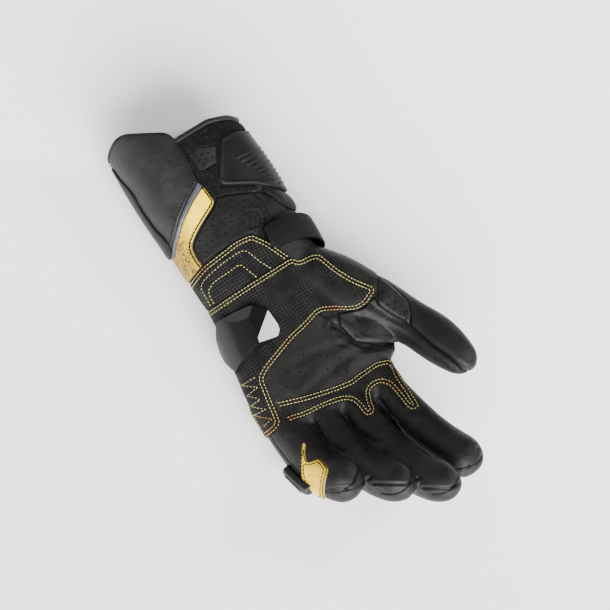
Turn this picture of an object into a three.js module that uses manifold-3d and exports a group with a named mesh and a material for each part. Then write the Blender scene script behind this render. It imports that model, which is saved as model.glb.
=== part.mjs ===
// Left-hand leather racing glove, lying on its back with the palm up.
// Millimetres. +X runs from the cuff to the fingertips, +Y to the thumb, +Z up out of the palm.
// The origin is on the surface the glove rests on, under the middle of the gauntlet.
import * as THREE from "three";
import { ConvexGeometry } from "three/addons/geometries/ConvexGeometry.js";
import { mergeVertices } from "three/addons/utils/BufferGeometryUtils.js";
import Module from "manifold-3d";

const wasm = await Module();
wasm.setup();

// Driving dimensions
const WRIST_X = 60; // from the origin to the crease of the wrist, where every x below is counted from
const WRIST_Z = 31; // height of the middle of the wrist
const LEATHER = 1.7; // wall of the glove's leather with its lining
const GAP = 0.3; // between pieces that are sewn or stuck together
const REACH = 400; // longer than the glove, for cutting tools
const OUTSIDE = 90; // beyond the edge of the hand on the little finger's side

// The body of the glove, cuff to knuckles: width, bottom and top of the hand at stations along the arm.
// slant moves a section's thumb side forward by that share of its distance from the middle.
const BODY = [
  { x: -135, y: -1.5, wide: 92, low: 1.2, high: 61, slant: 0 },
  { x: -95, y: -2, wide: 93, low: 1.2, high: 63, slant: 0 },
  { x: -50, y: -1, wide: 95, low: 1.2, high: 62, slant: 0 },
  { x: -15, y: -1, wide: 92, low: 3.5, high: 57, slant: 0 },
  { x: 10, y: -1.5, wide: 91, low: 6, high: 53, slant: 0 },
  { x: 35, y: -1, wide: 95, low: 5, high: 48, slant: 0.02 },
  { x: 65, y: -1, wide: 105, low: 3, high: 45, slant: 0.08 },
  { x: 92, y: -3.5, wide: 107, low: 5, high: 43, slant: 0.14 },
  { x: 109, y: -5.5, wide: 100, low: 10, high: 40, slant: 0.14 },
  { x: 119, y: -6, wide: 86, low: 17, high: 34, slant: 0.12 },
];
const BODY_SIDES = 22;
const HOLLOW_SIDES = { body: 14, digit: 8 }; // the inside is plainer
const BODY_POWER = 2.5; // 2 would make the sections ellipses, more makes them squarer

// Fingers: where each one leaves the palm, its heading, its length to the tip and its curl at root and tip.
const FINGERS = [
  { name: "little", x: 104, y: -44.8, z: 20.5, yaw: -5, length: 85, wide: 25, thick: 30, curl: [5, 68] },
  { name: "ring", x: 112, y: -21, z: 24, yaw: 0, length: 99, wide: 23.6, thick: 28, curl: [8, 60] },
  { name: "middle", x: 117, y: 5, z: 25, yaw: 0, length: 112, wide: 25.6, thick: 28, curl: [7, 59] },
  { name: "index", x: 116, y: 33.4, z: 25, yaw: 5.5, length: 97, wide: 27.6, thick: 27, curl: [5, 48] },
];
const FINGER_ROOT = 20; // how far a finger's form reaches back into the palm
const FINGER_SIDES = 10;
const FINGER_STATIONS = [0, 0.3, 0.55, 0.76, 0.92, 1];
const HOLLOW_STATIONS = [0.3, 0.6, 0.85, 1];
const TIP_ROUND = 0.2; // share of the length over which a tip closes
const TIP_BLUNT = 0.12; // a tip's flat end, as a share of the finger's section
const FINGER_POWER = 2.5;

// Thumb: heading, lift and section at distances along its bone, from the middle of the palm's heel.
const THUMB_START = { x: 12, y: 20, z: 30 };
const THUMB = [
  { s: 0, yaw: 40, curl: 2, wide: 40, thick: 40 },
  { s: 35, yaw: 38, curl: 2, wide: 46, thick: 42 },
  { s: 65, yaw: 33, curl: 6, wide: 38, thick: 36 },
  { s: 92, yaw: 24, curl: 12, wide: 32.5, thick: 30 },
  { s: 118, yaw: 13, curl: 18, wide: 33, thick: 28 },
  { s: 136, yaw: 6, curl: 22, wide: 27, thick: 24 },
  { s: 148, yaw: 2, curl: 24, wide: 16, thick: 14 },
];
const THUMB_STATIONS = [0, 30, 60, 90, 115, 136, 148];
const THUMB_HOLLOW_STATIONS = [0, 45, 85, 120, 148];
const THUMB_POWER = 2.3;
const THUMB_LEAN = 36; // how far the thumb's seam is turned about its bone

// The web between the thumb and the index finger: the middle of a ball and its three radii
const WEB = { x: 80, y: 44, z: 28, rx: 24, ry: 18, rz: 15 };

// The plane on which the palm's pieces are drawn, seen square on from the palm and the little finger's side
const LAYOUT_ROLL = THREE.MathUtils.degToRad(26);
const LAYOUT_PITCH = THREE.MathUtils.degToRad(10);
const layoutAlong = new THREE.Vector3(
  Math.cos(LAYOUT_PITCH),
  Math.sin(LAYOUT_PITCH) * Math.sin(LAYOUT_ROLL),
  -Math.sin(LAYOUT_PITCH) * Math.cos(LAYOUT_ROLL),
);
const layoutAcross = new THREE.Vector3(0, Math.cos(LAYOUT_ROLL), Math.sin(LAYOUT_ROLL));
const layoutOut = new THREE.Vector3().crossVectors(layoutAlong, layoutAcross);

// A value at x from a table of rows, on a smooth curve through the rows (Catmull-Rom on uneven stations)
function valueAt(rows, key, column, x) {
  let i = 0;
  while (i < rows.length - 2 && x > rows[i + 1][key]) i++;
  const before = rows[Math.max(i - 1, 0)];
  const from = rows[i];
  const to = rows[i + 1];
  const after = rows[Math.min(i + 2, rows.length - 1)];
  const span = to[key] - from[key];
  const t = THREE.MathUtils.clamp((x - from[key]) / span, 0, 1);
  const slopeFrom = ((to[column] - before[column]) / (to[key] - before[key])) * span;
  const slopeTo = ((after[column] - from[column]) / (after[key] - from[key])) * span;
  const t2 = t * t;
  const t3 = t2 * t;
  return (
    (2 * t3 - 3 * t2 + 1) * from[column] +
    (t3 - 2 * t2 + t) * slopeFrom +
    (-2 * t3 + 3 * t2) * to[column] +
    (t3 - t2) * slopeTo
  );
}

// A closed ring of points: a rounded rectangle between an ellipse (power 2) and a box
function ring(centre, across, up, halfWide, halfThick, sides, power) {
  const points = [];
  for (let k = 0; k < sides; k++) {
    const turn = (2 * Math.PI * k) / sides;
    const c = Math.cos(turn);
    const s = Math.sin(turn);
    const u = halfWide * Math.sign(c) * Math.abs(c) ** (2 / power);
    const v = halfThick * Math.sign(s) * Math.abs(s) ** (2 / power);
    points.push(centre.clone().addScaledVector(across, u).addScaledVector(up, v));
  }
  return points;
}

// A closed skin over a row of rings, with a flat fan at each end
function loft(rings) {
  const sides = rings[0].length;
  const positions = [];
  const index = [];
  for (const points of rings) for (const p of points) positions.push(p.x, p.y, p.z);
  for (let r = 0; r < rings.length - 1; r++)
    for (let k = 0; k < sides; k++) {
      const a = r * sides + k;
      const b = r * sides + ((k + 1) % sides);
      index.push(a, b, b + sides, a, b + sides, a + sides);
    }
  for (const [r, flip] of [[0, true], [rings.length - 1, false]]) {
    const middle = rings[r].reduce((sum, p) => sum.add(p), new THREE.Vector3()).divideScalar(sides);
    const hub = positions.length / 3;
    positions.push(middle.x, middle.y, middle.z);
    for (let k = 0; k < sides; k++) {
      const a = r * sides + k;
      const b = r * sides + ((k + 1) % sides);
      if (flip) index.push(hub, b, a);
      else index.push(hub, a, b);
    }
  }
  const geometry = new THREE.BufferGeometry();
  geometry.setAttribute("position", new THREE.Float32BufferAttribute(positions, 3));
  geometry.setIndex(index);
  return solid(geometry);
}

// A three.js geometry as a solid that can be cut and joined
function solid(geometry) {
  const bare = geometry.clone();
  bare.deleteAttribute("normal");
  bare.deleteAttribute("uv");
  const merged = mergeVertices(bare, 1e-4);
  const made = new wasm.Manifold(
    new wasm.Mesh({
      numProp: 3,
      vertProperties: merged.attributes.position.array,
      triVerts: new Uint32Array(merged.index.array),
    }),
  );
  return made;
}

const WORLD_Z = new THREE.Vector3(0, 0, 1);

function bodyForm(grow) {
  const sides = grow < 0 ? HOLLOW_SIDES.body : BODY_SIDES;
  const ends = new Map([[BODY[0], -Math.abs(grow)], [BODY[BODY.length - 1], grow]]);
  const rings = [];
  for (const row of BODY) {
    const centre = new THREE.Vector3(row.x + (ends.get(row) ?? 0), row.y, (row.low + row.high) / 2);
    const lean = new THREE.Vector3(row.slant, 1, 0);
    const halfThick = (row.high - row.low) / 2;
    rings.push(ring(centre, lean, WORLD_Z, row.wide / 2 + grow, halfThick + grow, sides, BODY_POWER));
  }
  return loft(rings);
}

const BONE_STEP = 1;

// A digit's rings along its bone, whose heading and curl are given by a function of the distance
function digitForm(start, from, stations, shape, sides, power, grow) {
  const point = start.clone();
  const rings = [];
  let s = from;
  const last = stations[stations.length - 1];
  const around = grow < 0 ? HOLLOW_SIDES.digit : sides;
  for (const station of stations) {
    while (s < station) {
      const d = Math.min(BONE_STEP, station - s);
      point.addScaledVector(shape(s + d / 2).heading, d);
      s += d;
    }
    const { heading, wide, thick } = shape(station);
    const across = new THREE.Vector3().crossVectors(WORLD_Z, heading).normalize();
    const up = new THREE.Vector3().crossVectors(heading, across);
    const centre = station === last ? point.clone().addScaledVector(heading, grow) : point;
    rings.push(ring(centre, across, up, wide / 2 + grow, thick / 2 + grow, around, power));
  }
  return loft(rings);
}

function headingOf(yaw, curl) {
  const y = THREE.MathUtils.degToRad(yaw);
  const c = THREE.MathUtils.degToRad(curl);
  return new THREE.Vector3(Math.cos(c) * Math.cos(y), Math.cos(c) * Math.sin(y), Math.sin(c));
}

function fingerShape(finger) {
  return (s) => {
    const share = THREE.MathUtils.clamp(s / finger.length, 0, 1);
    const [curlRoot, curlTip] = finger.curl;
    const curl = curlRoot + (curlTip - curlRoot) * share ** 1.1;
    const round = Math.max(0, (share - (1 - TIP_ROUND)) / TIP_ROUND);
    const taper = (1.04 - 0.12 * share) * Math.sqrt(Math.max(TIP_BLUNT, 1 - round ** 2.2));
    return { heading: headingOf(finger.yaw, curl), wide: finger.wide * taper, thick: finger.thick * taper };
  };
}

function fingerStart(finger) {
  const root = new THREE.Vector3(finger.x, finger.y, finger.z);
  return root.addScaledVector(fingerShape(finger)(0).heading, -FINGER_ROOT);
}

function fingerForm(finger, grow) {
  const shape = fingerShape(finger);
  const start = fingerStart(finger);
  const shares = grow < 0 ? HOLLOW_STATIONS : FINGER_STATIONS;
  const stations = [-FINGER_ROOT, ...shares.map((share) => share * finger.length)];
  return digitForm(start, -FINGER_ROOT, stations, shape, FINGER_SIDES, FINGER_POWER, grow);
}

function thumbShape(s) {
  const at = (column) => valueAt(THUMB, "s", column, s);
  return { heading: headingOf(at("yaw"), at("curl")), wide: at("wide"), thick: at("thick") };
}

function thumbForm(grow) {
  const start = new THREE.Vector3(THUMB_START.x, THUMB_START.y, THUMB_START.z);
  const stations = grow < 0 ? THUMB_HOLLOW_STATIONS : THUMB_STATIONS;
  return digitForm(start, 0, stations, thumbShape, FINGER_SIDES, THUMB_POWER, grow);
}

// Where one finger stops and the next begins, in plan, and where each one is sewn to the palm
const FENCES = { littleRing: -33.5, ringMiddle: -8.5, middleIndex: 18.5 };
const FINGER_BASE = { little: 112.5, littleRing: 118, ringMiddle: 123, middleIndex: 127, index: 124 };
const SIDE_SEAM_Z = 22; // height of the seam round the hand between the palm and the back
const CUFF_SEAM_Z = 16; // height of the seam along the gauntlet between the flap and the back
const HAND_START = -17; // where the cuff's lining is sewn to the hand

// Thickness of what is sewn or stuck on the outside
const PATCH = 1.8; // grip patches
const FACING = 1.2; // thin leather and loop facings
const FLAP = 1.6; // the gauntlet's outer leather
const RIB_PANEL = 2; // the ribbed panel, below its ribs
const GUSSET = 1.6;
const GUARD = { little: 3.6, knuckle: 2.4, forearm: 1.8 }; // hard guards
const BINDING = { wide: 2.6, thick: 2.3 }; // the bound edge of the cuff

// Ribs of the cuff's panel: where the first stands along the layout plane, and where they begin across it
const RIBS = { first: -62, pitch: 5.4, count: 4, wide: 2.4, from: 20, to: 62, step: 2.6, rise: 1 };

// Outlines on the layout plane, as pairs of millimetres along and across from the crease of the wrist
const OUTLINES = {
  cuffLining: [
    [-104.4, -70], [-104.4, 26], [-100, 39], [-94, 46], [-88.3, 48], [-81.5, 60], [40, 70], [40, -70],
  ],
  flap: [
    [-111, -1], [-90, 0], [-71, -3.5], [-64.5, -15.5], [-56.5, -27.5], [-46.5, -38], [-37, -48],
    [-28, -62], [-113, -62], [-116.5, -52], [-120, -47.5], [-124.8, -42], [-128, -35], [-127.5, -28],
    [-119, -14],
  ],
  greyStripe: [
    [-70.5, -3.2], [-67, -2], [-61.3, -13.8], [-53.7, -26], [-44.2, -37], [-34.3, -47], [-25, -62],
    [-27.5, -62], [-36.6, -47.8], [-46.1, -37.7], [-56.1, -27.2], [-64.1, -15.2],
  ],
  goldPanel: [
    [-66.6, -1.7], [-54, -1], [-52.4, -2.3], [-42, -22.3], [-36, -31], [-27.4, -32], [-20.6, -31.5],
    [-15.5, -47.5], [-12.5, -62], [-24.5, -62], [-33.9, -46.8], [-43.9, -36.7], [-53.3, -25.7],
    [-60.9, -13.5],
  ],
  loopField: [
    [-101.8, -0.2], [-101.8, 25], [-97.6, 37.2], [-92, 43.6], [-87.5, 46], [-83.5, 47.4], [-86.1, 42.2],
    [-88.9, 33.4], [-89.2, 25], [-65.5, 8.6], [-59.4, 9.2], [-48.4, 28.4], [-44.9, 31],
    [-45.2, 26], [-53.3, 9.4], [-56.3, 1.9], [-90.5, 0.6],
  ],
  window: [
    [-90.5, 1.5], [-91.4, 9.7], [-86.3, 21.4], [-75.3, 15.1], [-75.6, 4.4], [-77.3, 2],
  ],
  ribbedPanel: [
    [-88.5, 25.7], [-88, 33], [-85.5, 41.8], [-82.7, 48], [-80, 62], [-21, 62], [-27.5, 47.5],
    [-30, 46.5], [-36.5, 42.5], [-43, 35.7], [-48.5, 29.8], [-60, 10.6], [-65, 9.6],
  ],
  wristPanel: [
    [-54.8, 1.2], [-52.4, 8.8], [-44.4, 25.2], [-41.5, 30.5], [-31.7, 35.6], [-22, 37.7], [-21.1, 24.1],
    [-17.9, 18.2], [-22.6, 9.1], [-24, -3.3], [-21.6, -30.6], [-27.4, -31.2], [-35.2, -30.2], [-41, -21.5],
    [-51.5, -1.5],
  ],
  wristGusset: [
    [-44.2, 32.3], [-41.8, 31.5], [-31.7, 36.4], [-22, 38.5], [-16, 46], [-12, 62], [-19, 62],
    [-26.2, 46.9], [-29, 45.5], [-35.6, 41.4], [-42, 34.7],
  ],
  heelPatch: [
    [-15, -47.5], [-20.1, -31.6], [-22.7, -4.1], [-21, 8.2], [-10.1, 15.3], [7.1, 22.5], [8.3, 22.3],
    [9, 6.8], [8.6, -9.5], [9, -26.6], [9.3, -44.2], [9.3, -62], [-12, -62],
  ],
  palmPatch: [
    [9, 23], [12.5, 25.7], [13.6, 35], [16.4, 40.7], [32.5, 46.1], [43.5, 51.5], [56.9, 60.7],
    [60.8, 58.2],
    [64.5, 47.9], [64.1, 42.2], [57.7, 29.7], [52.2, 19.9], [51.8, 16.8], [54.7, 5.8], [57.2, -8.3],
    [61.4, -21.1], [65.4, -32.9], [68.6, -38.3], [75.4, -39.4], [84.2, -41.3], [95.5, -43.2], [101.3, -44.5],
    [103.5, -51.4], [104, -62], [9.8, -62], [9.8, -44.2], [9.5, -26.6], [9.1, -9.5], [9.5, 6.8],
  ],
  innerPalm: [
    [53, 17.5], [65, 40.5], [65.8, 48.1], [75.7, 49.7], [85.8, 49.9], [96, 46.5], [102, 41], [99.7, 32.5],
    [99.7, 16], [100.2, 11.5], [98.7, 3], [92.7, -19.2], [85.5, -38.8], [84, -40.5], [75.4, -38.7],
    [69.2, -37.6], [66, -32.6], [62, -20.9], [57.8, -8.1], [55.3, 6],
  ],
  fingerBase: [
    [85.9, -39.9], [93.4, -19.4], [99.4, 2.7], [101, 11.6], [100.4, 15.8], [100.4, 32.5], [104.4, 41.2],
    [109.6, 42.8], [117.9, 41.5], [131.5, 41.9], [143.2, 41.8], [145, 38.2], [143, 34.4], [139.3, 32.6],
    [129.1, 31.7], [120.8, 30.5], [116.4, 27.5], [114.5, 22.1], [115.9, 17.8], [122.5, 15.2], [128, 14.5],
    [130.9, 11.4], [130.4, 6.7], [126.7, 4.9], [119.7, 4.5], [114.5, 2.8], [110.9, -1.5], [108.7, -10],
    [105.8, -27.4], [103.4, -40], [94.8, -40.3],
  ],
  thumbPanel: [
    [50.6, 67.7], [65.9, 72], [78.5, 74.6], [87.3, 71.4], [91.8, 66.8], [79.1, 60.1], [68.5, 56],
    [62.5, 59.5], [57.2, 62.2],
  ],
  littleGold: [
    [118.6, -39.4], [121.2, -38.2], [125, -41.5], [131.6, -44.1], [133.1, -39.3], [133.8, -35.6],
    [139.4, -34.4], [143.3, -34], [149, -40.4], [154.5, -44.8], [161.1, -47.5], [154.8, -53.4],
    [150.6, -54.8], [143.4, -54.3], [136.9, -52.6], [128.7, -47.3],
  ],
  littleGuard: [
    [126, -75], [127, -54], [131, -55.5], [137, -56], [143, -56.6], [150, -56.8], [155.5, -55.6],
    [161, -60], [155, -75],
  ],
  knuckleGuard: [
    [70, -40], [82, -46], [100, -42], [104, -20], [110, 10], [108, 36], [92, 40], [78, 30], [72, 0],
  ],
  forearmGuard: [
    [-114, -62], [-115, -49], [-103, -47.5], [-88, -44.5], [-73, -42], [-57, -43.5], [-46, -43], [-38, -44],
    [-36, -50], [-37, -62],
  ],
};

// The gauntlet's back in plan
const CUFF_BACK = [[-116, -60], [-116, 5], [-112, 24], [-102, 60], [-20, 60], [-20, -60]];

// The slider's two blocks: points of the rim and of the crest between them, with their height above the plane
const CREST = [[26.7, -27.1, 42], [35.4, -26.7, 43], [45.8, -27, 41.5]];
const SLIDER_THUMB_SIDE = [
  [19.7, -22.4, 36.5], [22.5, -16.7, 35.5], [32.6, -11.5, 34], [41.3, -9.7, 34], [45.6, -10.8, 34.5],
  [48.4, -13.5, 36],
];
const SLIDER_EDGE_SIDE = [
  [19.7, -22.4, 36.5], [17.3, -35, 35], [17.1, -44.9, 27.5], [26.9, -52.5, 25], [34.4, -54.5, 24.5],
  [43.7, -56, 25.5], [50.7, -54.6, 30], [54.8, -51.9, 35], [53.6, -49, 37.5], [49.7, -38.5, 41],
];
const SLIDER_FOOT = 10; // height of the slider's foot above the plane, before the palm is cut out of it

// The wrist strap, from its tab on the palm round the thumb's side to the back: the turn about the wrist
// from the thumb's side towards the palm, where its middle lies along the wrist, and how far it stands off
const STRAP = [
  { turn: 86, x: -8, off: 3 },
  { turn: 60, x: -8, off: 3 },
  { turn: 42, x: -6, off: 3.4 },
  { turn: 26, x: -3, off: 5 },
  { turn: 8, x: 1, off: 6 },
  { turn: -14, x: 3, off: 5 },
  { turn: -36, x: 2, off: 3 },
  { turn: -60, x: 0, off: 2 },
  { turn: -84, x: -1, off: 1.6 },
];
const STRAP_WIDE = 19;
const STRAP_THICK = 1.8;

const LAYER_DEPTH = -45; // how far below the layout plane the palm's pieces reach round the edges
const plan = new THREE.Matrix4();
const layout = new THREE.Matrix4()
  .makeBasis(layoutAlong, layoutAcross, layoutOut)
  .setPosition(0, 0, WRIST_Z);

// A prism over an outline of pairs, standing on the given plane between two heights above it
function prism(plane, points, from, to) {
  const shape = new THREE.Shape(points.map(([a, b]) => new THREE.Vector2(a, b)));
  const geometry = new THREE.ExtrudeGeometry(shape, { depth: to - from, bevelEnabled: false, steps: 1 });
  return solid(geometry.translate(0, 0, from).applyMatrix4(plane));
}

function shifted(points, along) {
  return points.map(([a, b]) => [a + along, b]);
}

function shrunk(points, share) {
  const middle = [0, 1].map((i) => points.reduce((sum, p) => sum + p[i], 0) / points.length);
  return points.map((p) => p.map((value, i) => middle[i] + (value - middle[i]) * share));
}

function block(x, y, z) {
  const box = new THREE.BoxGeometry(x[1] - x[0], y[1] - y[0], z[1] - z[0]);
  return solid(box.translate((x[0] + x[1]) / 2, (y[0] + y[1]) / 2, (z[0] + z[1]) / 2));
}

const HALF_STEPS = 8;
const HALF_REACH = 34; // how far the cutting half reaches to each side of a bone and away from it
const HALF_OVERRUN = 8; // and past the tip

// What lies on one side of a curved digit's bone, from a near distance out: turn leans that side about
// the bone, from up towards the thumb's side
function digitHalf(start, from, length, shape, turn, near) {
  const lean = THREE.MathUtils.degToRad(turn);
  const rings = [];
  const point = start.clone();
  const step = (length + HALF_OVERRUN - from) / HALF_STEPS;
  for (let k = 0; k <= HALF_STEPS; k++) {
    const s = from + k * step;
    const { heading } = shape(Math.min(s, length));
    const level = new THREE.Vector3().crossVectors(WORLD_Z, heading).normalize();
    const rise = new THREE.Vector3().crossVectors(heading, level);
    const up = rise.clone().multiplyScalar(Math.cos(lean)).addScaledVector(level, Math.sin(lean));
    const across = new THREE.Vector3().crossVectors(up, heading);
    const corners = [];
    for (const [u, v] of [[1, near], [1, HALF_REACH], [-1, HALF_REACH], [-1, near]])
      corners.push(point.clone().addScaledVector(across, u * HALF_REACH).addScaledVector(up, v));
    rings.push(corners);
    point.addScaledVector(shape(Math.min(s + step / 2, length)).heading, step);
  }
  return loft(rings);
}

// The convex block over rim points of the slider, down to its foot
function sliderBlock(rim) {
  const points = [];
  for (const [a, b, height] of [...rim, ...CREST]) {
    points.push(new THREE.Vector3(a, b, height).applyMatrix4(layout));
    points.push(new THREE.Vector3(a, b, SLIDER_FOOT).applyMatrix4(layout));
  }
  return solid(new ConvexGeometry(points));
}

// A band of leather that runs round the wrist through the rows of the strap's table
function strapForm() {
  const rings = STRAP.map((row) => {
    const turn = THREE.MathUtils.degToRad(row.turn);
    const corners = [];
    const ends = [[-1, 0], [-1, STRAP_THICK], [1, STRAP_THICK], [1, 0]];
    for (const [side, rise] of ends) {
      const x = row.x + (side * STRAP_WIDE) / 2;
      const at = (column) => valueAt(BODY, "x", column, x);
      const out = row.off + rise;
      const c = Math.cos(turn);
      const s = Math.sin(turn);
      corners.push(
        new THREE.Vector3(
          x,
          at("y") + (at("wide") / 2 + out) * c ** (2 / BODY_POWER),
          (at("low") + at("high")) / 2 +
            ((at("high") - at("low")) / 2 + out) * Math.sign(s) * Math.abs(s) ** (2 / BODY_POWER),
        ),
      );
    }
    return corners;
  });
  return loft(rings);
}

function webForm(grow) {
  const ball = new THREE.SphereGeometry(1, 12, 8).scale(WEB.rx + grow, WEB.ry + grow, WEB.rz + grow);
  return solid(ball.translate(WEB.x, WEB.y, WEB.z));
}

const forms = new Map();
// The glove's outer surface, let out by some millimetres
function form(grow) {
  if (!forms.has(grow)) {
    let made = bodyForm(grow).add(thumbForm(grow)).add(webForm(grow));
    for (const finger of FINGERS) made = made.add(fingerForm(finger, grow));
    forms.set(grow, made);
  }
  return forms.get(grow);
}

function aboveHeight(z) {
  return block([-REACH, REACH], [-REACH, REACH], [z, REACH]);
}

// A layer of the given thickness that lies on the glove, under an outline and above a height
function layer(outline, lift, thick, above) {
  return form(lift + thick)
    .subtract(form(lift))
    .intersect(prism(layout, outline, LAYER_DEPTH, REACH))
    .intersect(aboveHeight(above));
}

// Plan outlines of the fingers, each held back from its fences by half the gap
function fingerZones() {
  const { littleRing, ringMiddle, middleIndex } = FENCES;
  const far = REACH;
  const at = FINGER_BASE;
  const half = GAP / 2;
  return {
    little: [
      [at.little, -OUTSIDE], [at.littleRing, littleRing - half],
      [far, littleRing - half], [far, -OUTSIDE],
    ],
    ring: [
      [at.littleRing, littleRing + half], [at.ringMiddle, ringMiddle - half],
      [far, ringMiddle - half], [far, littleRing + half],
    ],
    middle: [
      [at.ringMiddle, ringMiddle + half], [at.middleIndex, middleIndex - half],
      [far, middleIndex - half], [far, ringMiddle + half],
    ],
    index: [
      [at.middleIndex, middleIndex + half], [at.index, 54], [170, 72], [far, 72],
      [far, middleIndex + half],
    ],
  };
}

// Plan outlines of the thumb's piece and, a gap wider, of what is cut out of the hand for it
const THUMB_ZONE = [[97, 62], [76, 61], [46, 83], [60, 140], [180, 140], [180, 80], [122, 62]];
const DIGITS_CUT = [
  [FINGER_BASE.little - GAP, -OUTSIDE], [FINGER_BASE.littleRing - GAP, FENCES.littleRing],
  [FINGER_BASE.ringMiddle - GAP, FENCES.ringMiddle], [FINGER_BASE.middleIndex - GAP, FENCES.middleIndex],
  [FINGER_BASE.index - GAP, 54], [170, 72.5], [REACH, 72.5], [REACH, -OUTSIDE],
];
const THUMB_CUT = [[97.1, 61.7], [75.9, 60.7], [45.6, 82.8], [60, 141], [181, 141], [181, 79.6], [122, 61.7]];

// The hollow of the hand, which runs on out of the cuff's end
let hollow = bodyForm(-LEATHER).add(thumbForm(-LEATHER)).add(webForm(-LEATHER));
for (const finger of FINGERS) hollow = hollow.add(fingerForm(finger, -LEATHER));
const skin = form(0).subtract(hollow);

const LEATHER_BLACK = 0x2e2c2b;
const GRIP_BLACK = 0x2a2a29;
const GOLD = 0xd9c084;
const GREY = 0x656a70;
const LOOP_BLACK = 0x1c1c1d;
const RUBBER = 0x222223;
const GLOSS_BLACK = 0x101012;

const glove = new THREE.Group();
glove.position.x = WRIST_X;

// The largest closed body of a solid: what a cut leaves loose at an outline's edge is dropped
function mainBody(vertices, triangles) {
  const parent = Array.from({ length: vertices.length / 3 }, (_, i) => i);
  const root = (i) => {
    while (parent[i] !== i) i = parent[i] = parent[parent[i]];
    return i;
  };
  for (let t = 0; t < triangles.length; t += 3) {
    parent[root(triangles[t])] = root(triangles[t + 1]);
    parent[root(triangles[t + 1])] = root(triangles[t + 2]);
  }
  const volume = new Map();
  const point = (i) => new THREE.Vector3().fromArray(vertices, 3 * i);
  for (let t = 0; t < triangles.length; t += 3) {
    const key = root(triangles[t]);
    const [a, b, c] = [0, 1, 2].map((k) => point(triangles[t + k]));
    volume.set(key, (volume.get(key) ?? 0) + a.dot(b.cross(c)) / 6);
  }
  const best = [...volume].reduce((most, entry) => (entry[1] > most[1] ? entry : most))[0];
  const kept = [];
  for (let t = 0; t < triangles.length; t += 3)
    if (root(triangles[t]) === best) kept.push(triangles[t], triangles[t + 1], triangles[t + 2]);
  return kept;
}

function addMesh(name, made, colour, roughness = 0.75, metalness = 0) {
  const { vertProperties, triVerts } = made.getMesh();
  const geometry = new THREE.BufferGeometry();
  geometry.setAttribute("position", new THREE.BufferAttribute(vertProperties, 3));
  geometry.setIndex(mainBody(vertProperties, triVerts));
  geometry.computeVertexNormals();
  const finish = new THREE.MeshStandardMaterial({ color: colour, roughness, metalness });
  const piece = new THREE.Mesh(geometry, finish);
  piece.name = name;
  glove.add(piece);
}

// The hand: a palm and a back that meet in a seam round the sides
const hand = skin
  .intersect(block([HAND_START + GAP, REACH], [-REACH, REACH], [-REACH, REACH]))
  .subtract(prism(plan, DIGITS_CUT, -REACH, REACH))
  .subtract(prism(plan, THUMB_CUT, -REACH, REACH));
const overSeam = aboveHeight(SIDE_SEAM_Z + GAP / 2);
const underSeam = block([-REACH, REACH], [-REACH, REACH], [-REACH, SIDE_SEAM_Z - GAP / 2]);
addMesh("palm_shell", hand.intersect(overSeam), LEATHER_BLACK);
addMesh("back_shell", hand.intersect(underSeam), LEATHER_BLACK);

// The fingers: a palm side and a back that wraps over the tip
const zones = fingerZones();
for (const finger of FINGERS) {
  const shape = fingerShape(finger);
  const start = fingerStart(finger);
  const whole = skin.intersect(prism(plan, zones[finger.name], -REACH, REACH));
  const front = digitHalf(start, -FINGER_ROOT, finger.length, shape, 0, GAP / 2);
  const frontAndGap = digitHalf(start, -FINGER_ROOT, finger.length, shape, 0, -GAP / 2);
  addMesh(`${finger.name}_finger_palm_side`, whole.intersect(front), LEATHER_BLACK);
  addMesh(`${finger.name}_finger_back`, whole.subtract(frontAndGap), LEATHER_BLACK);
}

// The thumb: an inner panel towards the fingers and an outer panel, with the long seam between them
const thumbStart = new THREE.Vector3(THUMB_START.x, THUMB_START.y, THUMB_START.z);
const thumb = skin.intersect(prism(plan, THUMB_ZONE, -REACH, REACH));
const thumbEnd = THUMB[THUMB.length - 1].s;
const thumbOuter = digitHalf(thumbStart, 0, thumbEnd, thumbShape, THUMB_LEAN, GAP / 2);
const thumbOuterAndGap = digitHalf(thumbStart, 0, thumbEnd, thumbShape, THUMB_LEAN, -GAP / 2);
addMesh("thumb_outer_panel", thumb.intersect(thumbOuter), LEATHER_BLACK);
addMesh("thumb_inner_panel", thumb.subtract(thumbOuterAndGap), LEATHER_BLACK);

// Patches on the palm
const WINDOW_SHARE = 0.95; // the window's pane in its hole
const EDGE_Z = 13; // how far down the hand's edge the palm's patches reach
const FINGER_EDGE_Z = 8; // and those on the little finger
addMesh("heel_patch", layer(OUTLINES.heelPatch, GAP, PATCH, EDGE_Z), GRIP_BLACK, 0.85);
addMesh("palm_patch", layer(OUTLINES.palmPatch, GAP, PATCH, EDGE_Z), GRIP_BLACK, 0.85);
addMesh("inner_palm_panel", layer(OUTLINES.innerPalm, GAP, FACING, SIDE_SEAM_Z), LEATHER_BLACK);
addMesh("finger_base_patch", layer(OUTLINES.fingerBase, GAP, PATCH, SIDE_SEAM_Z), GRIP_BLACK, 0.85);
addMesh("thumb_perforated_panel", layer(OUTLINES.thumbPanel, GAP, FACING, SIDE_SEAM_Z), LEATHER_BLACK);
addMesh("little_finger_gold_patch", layer(OUTLINES.littleGold, GAP, FACING, FINGER_EDGE_Z), GOLD, 0.6);
addMesh("little_finger_guard", layer(OUTLINES.littleGuard, GAP, GUARD.little, 0), RUBBER, 0.5);

// The knuckle guard, under the back of the hand
const knuckleLayer = form(GAP + GUARD.knuckle).subtract(form(GAP));
const knuckleGuard = knuckleLayer.intersect(prism(plan, OUTLINES.knuckleGuard, 0, EDGE_Z));
addMesh("knuckle_guard", knuckleGuard, RUBBER, 0.5);

// The slider on the heel of the palm, and the strap round the wrist
const slider = sliderBlock(SLIDER_THUMB_SIDE).add(sliderBlock(SLIDER_EDGE_SIDE));
addMesh("palm_slider", slider.subtract(form(2 * GAP + PATCH)), GLOSS_BLACK, 0.12);
addMesh("wrist_strap", strapForm(), LEATHER_BLACK, 0.6);

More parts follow.
